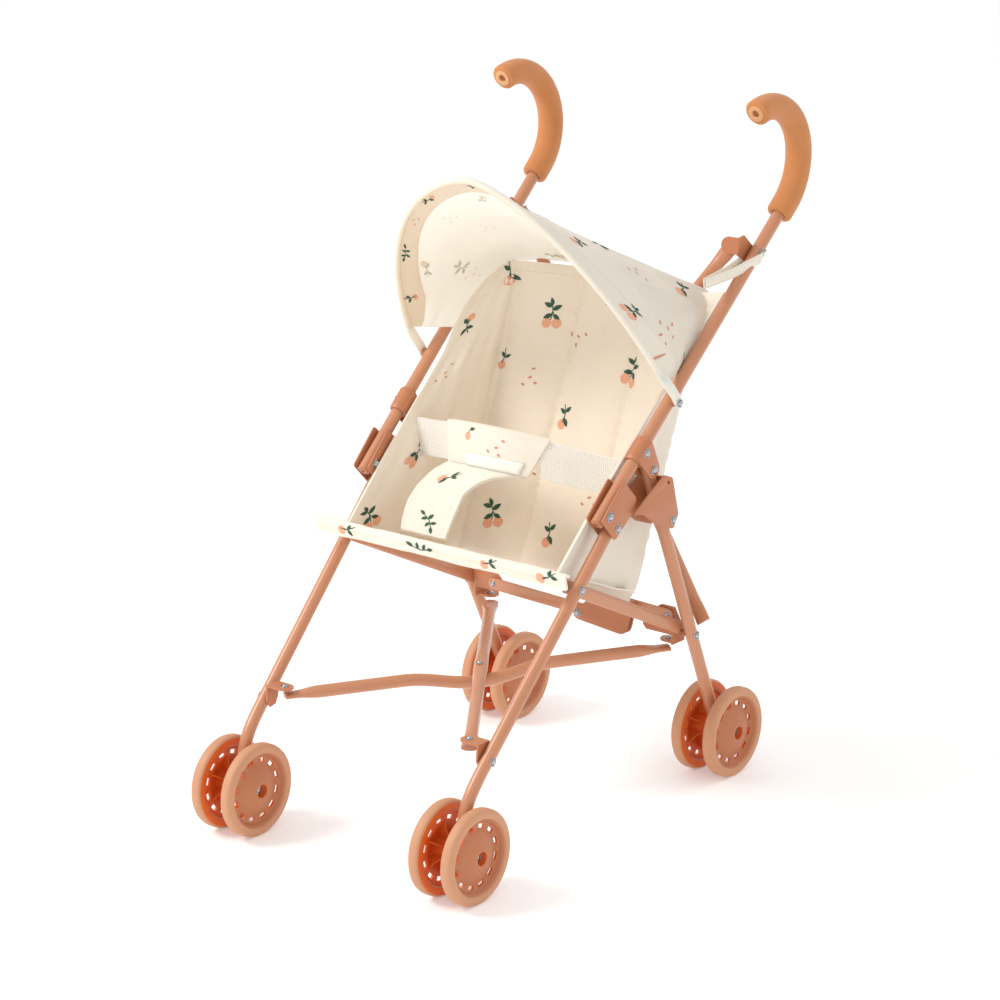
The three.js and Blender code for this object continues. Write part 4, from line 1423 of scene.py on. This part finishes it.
STRAP_SECTION = (
    (1, 0.5), (0.96, 1), (-0.96, 1), (-1, 0.5), (-1, -0.5), (-0.96, -1), (0.96, -1), (1, -0.5),
)


def ribbon(path, proud, breadth, thickness):
    """A flat strap along path; proud holds the way its face looks at each point."""
    points, rings = [], []
    last = len(path) - 1
    for i, place in enumerate(path):
        ahead = (path[min(i + 1, last)] - path[max(i - 1, 0)]).normalized()
        wide = ahead.cross(proud[i]).normalized() * breadth / 2000
        face = wide.cross(ahead).normalized() * thickness / 2000
        start = len(points)
        for across, up in STRAP_SECTION:
            points.append(place + wide * across + face * up)
        rings.append(list(range(start, start + 8)))
    return capped(points, rings, False)


def make_hood_straps():
    """A loop from each rear corner of the hood round its handle tube."""
    tube_line = Vector((0, math.cos(SLOPE), math.sin(SLOPE)))
    for side, name in SIDES:
        outward = ALONG_X * side
        centre = on_side(side, *along_handle(256))
        corner = at(side * 111, 131, 409)
        pull = (corner - centre) - outward * (corner - centre).dot(outward)
        pull.normalize()
        slant = 1 / math.sqrt(1 - pull.dot(tube_line) ** 2)
        path, proud = [corner - outward * 0.0012], [-outward]
        for k in range(15):
            turn = math.pi * k / 14
            reach = outward * -math.cos(turn) * 5.9 - pull * math.sin(turn) * 5.9 * slant
            path.append(centre + reach / 1000)
            proud.append((reach - tube_line * reach.dot(tube_line)).normalized())
        path.append(corner + outward * 0.0012)
        proud.append(outward)
        for place, between in ((len(path) - 1, (-2, -1)), (1, (0, 1))):
            path.insert(place, path[between[0]].lerp(path[between[1]], 0.5) + Vector((0, 0, -0.0015)))
            proud.insert(place, (proud[between[0]] + proud[between[1]] + outward * 0.2).normalized())
        strap_at = ribbon(path, proud, 8, 0.9)
        shape = Shape().add(strap_at, 0, [(p.y, p.z) for p in strap_at[0]])
        strap = shape.piece(f"{name}_hood_loop", "left_frame", [COTTON], (), "printed_cotton", sharp=60)
        fold_with_frame(strap)


# ---------------------------------------------------------------- seat

SEAT_SIDE = ((157, 397), (31, 287), (3, 262), (-46, 215))
SEAT_BACK = ((172, 394), (146, 316), (131, 275), (85, 162))
SEAT_ROWS = (0, 0.46, 0.62, 1)
SEAT_SEAMS = (32, 86)
# Share of the width that is the flat back, and half the back's width; the rest is side wall.
SEAT_FLAT = 0.6
SEAT_HALF_BACK = 88


def along_line(points, share):
    share = min(max(share, 0), 1)
    i = next(k for k in range(1, len(SEAT_ROWS)) if share <= SEAT_ROWS[k] + 1e-9)
    t = (share - SEAT_ROWS[i - 1]) / (SEAT_ROWS[i] - SEAT_ROWS[i - 1])
    return [mix(points[i - 1][axis], points[i][axis], t) for axis in (0, 1)]


def eased_line(points, share):
    """The line with its kinks smoothed out over a short reach."""
    reach = min(0.09, share, 1 - share)
    spots = [along_line(points, share + reach * k / 3) for k in range(-3, 4)]
    return [sum(spot[axis] for spot in spots) / len(spots) for axis in (0, 1)]


def seat_surface(u, v):
    across = 2 * u - 1
    side_y, side_z = eased_line(SEAT_SIDE, v)
    back_y, back_z = eased_line(SEAT_BACK, v)
    clear = mix(6.5, 10.8, smooth((352 - side_z) / 25))
    wall = smooth((abs(across) - 0.55) / 0.1) * max(abs(across) - SEAT_FLAT, 0) / (1 - SEAT_FLAT)
    flat = min(abs(across) / SEAT_FLAT, 1)
    x = mix(flat * SEAT_HALF_BACK, plane_x(side_z) - clear, wall)
    y = mix(back_y - 18 * flat**2, side_y, wall)
    z = mix(back_z, side_z, wall)
    return Vector((math.copysign(x, across), y, z))


def seat_relief(u, v):
    """Quilted channels, with slack folds in the side walls."""
    across = abs(2 * u - 1)
    edges = smooth(v / 0.05) * smooth((1 - v) / 0.05)
    walls = smooth((across - SEAT_FLAT) / 0.12)
    x = across / SEAT_FLAT * SEAT_HALF_BACK
    nearest = min(abs(x - seam) for seam in SEAT_SEAMS)
    puff = 3.6 * (1 - math.exp(-((nearest / 10) ** 2)))
    quilt = puff - 1.4 * math.exp(-((nearest / 2.4) ** 2)) - 1.6
    puckers = 0.5 * math.exp(-((nearest / 8) ** 2)) * math.sin(v * 95 + 3 * math.sin(v * 31))
    sag = 2.6 * wobble(u, v, 7, 2.6, 1.7) + 1.2 * wobble(u, v, 17, 6, 5.3)
    drape = 1.7 * wobble(u, v, 26, 2.2, 7.9) + 0.8 * wobble(u, v, 40, 9, 2.2)
    slack = 1.5 * walls * (1 - smooth((across - 0.9) / 0.1))
    return edges * ((1 - walls) * (quilt + puckers + sag) + slack * drape)


def seat_thickness(u, v):
    across = abs(2 * u - 1)
    binding = smooth((across - 0.945) / 0.012)
    top = 1 - smooth((v - 0.035) / 0.008)
    pad = 1 - smooth((across - 0.52) / 0.1)
    return 1.2 + 0.9 * max(binding, top) + 1.6 * pad


SEAT_SPRIGS = [
    (0.329, 0.229, "pair", -5), (0.614, 0.414, "pair", 10), (0.175, 0.06, "single", -20),
    (0.214, 0.443, "berry", 10), (0.429, 0.6, "single", 0), (0.071, 0.67, "pair", 30),
    (0.286, 0.87, "pair", -15), (0.471, 0.9, "single", -5), (0.68, 0.66, "single", 30),
    (0.3, 0.5, "marks", 0), (0.05, 0.371, "marks", 20), (0.414, 0.314, "marks", 60),
    (0.357, 0.743, "marks", 10), (0.57, 0.79, "marks", 0), (0.12, 0.9, "marks", 0),
    (0.52, 0.12, "branch", 40), (0.82, 0.3, "pair", -30), (0.88, 0.72, "branch", 15),
]
BASE_SPRIGS = [
    (0.13, 0.95, "berry", 80), (0.42, 0.96, "branch", 95), (0.7, 0.95, "berry", 70),
    (0.93, 0.95, "single", 60),
]


def base_surface(u, v):
    """The seat's bottom cloth from its bight (v = 0) to the front edge, then down its front hem."""
    across = 2 * u - 1
    deck = min(v / 0.9, 1)
    rear = 80 - 17 * min(abs(across) / 0.85, 1) ** 2
    y = mix(rear, -57, deck)
    half_width = mix(122, 99, smooth((y + 54) / 20))
    sag = 7 * (1 - across**2) * math.sin(math.pi * deck)
    z = 224.8 - (y + 57) * 0.412 - sag
    drop = smooth((v - 0.88) / 0.12)
    droop = 1.3 * drop * wobble(u, 0.3, 8, 1, 3.3)
    front = y - 1.6 * math.sin(math.pi * drop) + 1.2 * drop + droop
    return Vector((across * half_width, front, z - 11.5 * drop * drop))


def base_relief(u, v):
    inside = smooth(v / 0.08)
    return inside * (1.3 * wobble(u, v, 6, 4, 8.8) + 0.6 * wobble(u, v, 19, 9, 3.1))


def base_thickness(u, v):
    return 1.4 + 1.2 * smooth((v - 0.85) / 0.02)


def make_seat():
    cloth = Cloth(seat_surface, seat_relief, seat_thickness)
    seat = lay_cloth(cloth, "seat_sling", "left_frame", 220, 90, [SEAT_COTTON, COTTON], ["seat_back"])
    pattern = Print(cloth, 0.22)
    scatter_sprigs(pattern, SEAT_SPRIGS, 5, 42)
    with_it = [pattern.piece("seat_print", "left_frame")]
    stitches = Print(cloth, 0.05)
    for sign in (-1, 1):
        stitch_row(stitches, [(0.5 + sign * 0.466, k / 40) for k in range(1, 40)])
        for seam in SEAT_SEAMS:
            u = 0.5 + sign * (SEAT_FLAT / 2) * seam / SEAT_HALF_BACK
            stitch_row(stitches, [(u, k / 40) for k in range(2, 40)], 3.6)
    stitch_row(stitches, [(k / 40, 0.045) for k in range(1, 40)])
    with_it.append(stitches.piece("seat_stitches", "left_frame", [THREAD]))
    note_sheet(seat, (0.427, 0.262), 0.078, with_it)

    base = Cloth(base_surface, base_relief, base_thickness)
    bottom = lay_cloth(base, "seat_base_cloth", "seat_base", 96, 60, [SEAT_COTTON, COTTON], ["seat_bottom"])
    pattern = Print(base, 0.2)
    scatter_sprigs(pattern, BASE_SPRIGS, 8, 44, 8, region=((0, 1), (0, 0.85)))
    stitches = Print(base, 0.05)
    stitch_row(stitches, [(k / 40, 0.955) for k in range(1, 40)])
    with_it = [
        pattern.piece("seat_base_print", "seat_base"),
        stitches.piece("seat_base_stitches", "seat_base", [THREAD]),
    ]
    note_sheet(bottom, (0.244, 0.163), 0.034, with_it)


# ---------------------------------------------------------------- belt and crotch strap

BELT_SPAN = 226
BELT_WIDTH = 30
SLEEVE_SHARE = 0.3
SLEEVE_HALF = 17.5


def belt_rise(x):
    return math.cos(math.pi * x / BELT_SPAN) ** 2


def belt_point(x, up):
    return Vector((x, 42 - 24 * belt_rise(x), 271 + 12 * belt_rise(x) + up))


def make_belts():
    for name, near, far in (("left", -103, -57), ("right", 36, 103)):
        cloth = Cloth(
            lambda u, v, a=near, b=far: belt_point(mix(a, b, u), (0.5 - v) * BELT_WIDTH),
            lambda u, v: -0.6 * wobble(u, v, 3, 2, 6.0),
            lambda u, v: 1.7,
        )
        belt = lay_cloth(
            cloth, f"{name}_lap_webbing", "left_frame", 40, 24, [WEBBING], [f"{name}_lap_belt"], "webbing",
            reverse=0,
        )
        note_sheet(belt, ((far - near) / 1000, 0.03), None, [])


STRAP_LEFT = ((0, -58.4), (0.05, -64), (0.13, -69), (0.35, -71), (0.62, -64.6), (0.88, -55), (1, -50))
STRAP_SPRIGS = [
    (0.3, 0.06, "berry", 20), (0.62, 0.14, "marks", 20), (0.42, 0.44, "single", 60),
    (0.6, 0.88, "branch", -35),
]
STRAP_RIGHT = ((0, 26), (0.04, 8), (0.1, -2), (0.19, -11), (0.34, -16.5), (0.59, -13), (0.83, -9), (1, -6))


def between(stops, share):
    for (a, first), (b, last) in zip(stops, stops[1:]):
        if share <= b:
            return mix(first, last, max(share - a, 0) / (b - a))
    return stops[-1][1]


def eased(stops, share):
    reach = min(0.05, share, 1 - share)
    return sum(between(stops, share + reach * k / 3) for k in range(-3, 4)) / 7


def strap_limits(t):
    """Left and right edges of the T shaped strap, t from the sleeve's top edge down to the seat."""
    if t < SLEEVE_SHARE:
        return -58.4, mix(44, 26, t / SLEEVE_SHARE)
    share = (t - SLEEVE_SHARE) / (1 - SLEEVE_SHARE)
    return eased(STRAP_LEFT, share), eased(STRAP_RIGHT, share)


def strap_surface(u, v):
    left, right = strap_limits(v)
    x = mix(left, right, u)
    if v < SLEEVE_SHARE:
        return belt_point(x, SLEEVE_HALF - 2 * SLEEVE_HALF * v / SLEEVE_SHARE)
    top = belt_point(x, -SLEEVE_HALF)
    foot = Vector((x, -40, 223))
    share = (v - SLEEVE_SHARE) / (1 - SLEEVE_SHARE)
    bulge = 3.2 * math.sin(math.pi * share)
    return top.lerp(foot, share) + Vector((0, -bulge, -bulge * 0.6))


def make_plain_label(cloth):
    """The blank tape sewn on the sleeve of the strap."""
    columns, rows = 18, 5
    places = [(i / columns, j / rows, i) for j in range(rows + 1) for i in range(columns + 1)]
    points = [
        cloth.point(mix(0.3, 0.92, a), mix(0.2, 0.292, b), 0.35 + 0.15 * math.sin(i * 0.8))
        for a, b, i in places
    ]
    tape_at = [(0.055 * a, 0.012 * b) for a, b, _ in places]
    label = Shape().add((points, grid_faces(columns, rows)), 0, tape_at)
    tag = label.piece("plain_label", "left_frame", [WHITE_TAPE], (), "webbing", closed=False)
    thick = tag.modifiers.new("tape", "SOLIDIFY")
    thick.thickness = 0.0005
    return tag


def make_crotch_strap():
    def relief(u, v):
        upper = 1.2 * (1 - smooth((v - 0.24) / 0.12))
        return 1.6 * math.sin(math.pi * u) * upper + 0.9 * wobble(u, v, 3.5, 4, 2.9)

    def thickness(u, v):
        edge = max(smooth((abs(2 * u - 1) - 0.86) / 0.06), 1 - smooth((v - 0.02) / 0.01))
        return 2.0 + 2.2 * (1 - smooth((v - 0.24) / 0.1)) + 0.7 * edge

    cloth = Cloth(strap_surface, relief, thickness)
    strap = lay_cloth(
        cloth, "crotch_strap_cloth", "left_frame", 64, 110, [COTTON, COTTON], ["crotch_strap"]
    )
    pattern = Print(cloth, 0.2)
    scatter_sprigs(pattern, STRAP_SPRIGS, 3, 400)
    stitches = Print(cloth, 0.05)
    for u in (0.045, 0.955):
        stitch_row(stitches, [(u, 0.01 + k / 50) for k in range(49)])
    stitch_row(stitches, [(k / 30, 0.285) for k in range(1, 30)])
    tag = make_plain_label(cloth)
    with_it = [
        pattern.piece("crotch_strap_print", "left_frame"),
        stitches.piece("crotch_strap_stitches", "left_frame", [THREAD]),
        fold_with_frame(tag),
    ]
    note_sheet(strap, (0.1, 0.115), 0.0078, with_it)


# ---------------------------------------------------------------- floor and assembly


def make_floor():
    mesh = bpy.data.meshes.new("floor")
    reach = 14
    corners = [(x * reach, y * reach, 0) for x, y in ((-1, -1), (1, -1), (1, 1), (-1, 1))]
    mesh.from_pydata(corners, [], [(0, 1, 2, 3)])
    floor_finish = Finish("studio_floor")
    grain = cloud(floor_finish, 30, 3)
    pale = tone(floor_finish, grain * 0.3, (0.93, 0.93, 0.93, 1), (0.9, 0.9, 0.9, 1))
    floor_finish.set("Base Color", pale)
    floor_finish.set("Roughness", 0.85 + grain * 0.1)
    floor_finish.set("Emission Color", (1, 1, 1, 1))
    floor_finish.set("Emission Strength", 0.2)
    mesh.materials.append(floor_finish.material)
    floor = bpy.data.objects.new("floor", mesh)
    bpy.context.scene.collection.objects.link(floor)
    floor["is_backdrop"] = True


make_camera()
light_studio()
for side, name in SIDES:
    make_handle(side, name, f"{name}_frame")
    make_sleeve(side, name, f"{name}_frame")
    make_fold_bracket(side, name)
    make_lock(side, name)
    make_legs(side, name)
    make_wheels(side, f"{name}_front", FRONT_AXLE)
    make_wheels(side, f"{name}_rear", REAR_AXLE)
    make_cross_bars(side, name)
    make_bar_rivets(side, name)
make_crossing_rivets()
make_spreader()
finish_kept_nodes()
make_bow()
make_hood()
make_hood_straps()
make_seat()
make_belts()
make_crotch_strap()

for piece, flat, area, with_it in SHEETS:
    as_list(with_it)

make_floor()
visual_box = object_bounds()
boxes = {"cad": cad_box, "visual": visual_box}
{key: [list(corner) for corner in box] for key, box in boxes.items()}
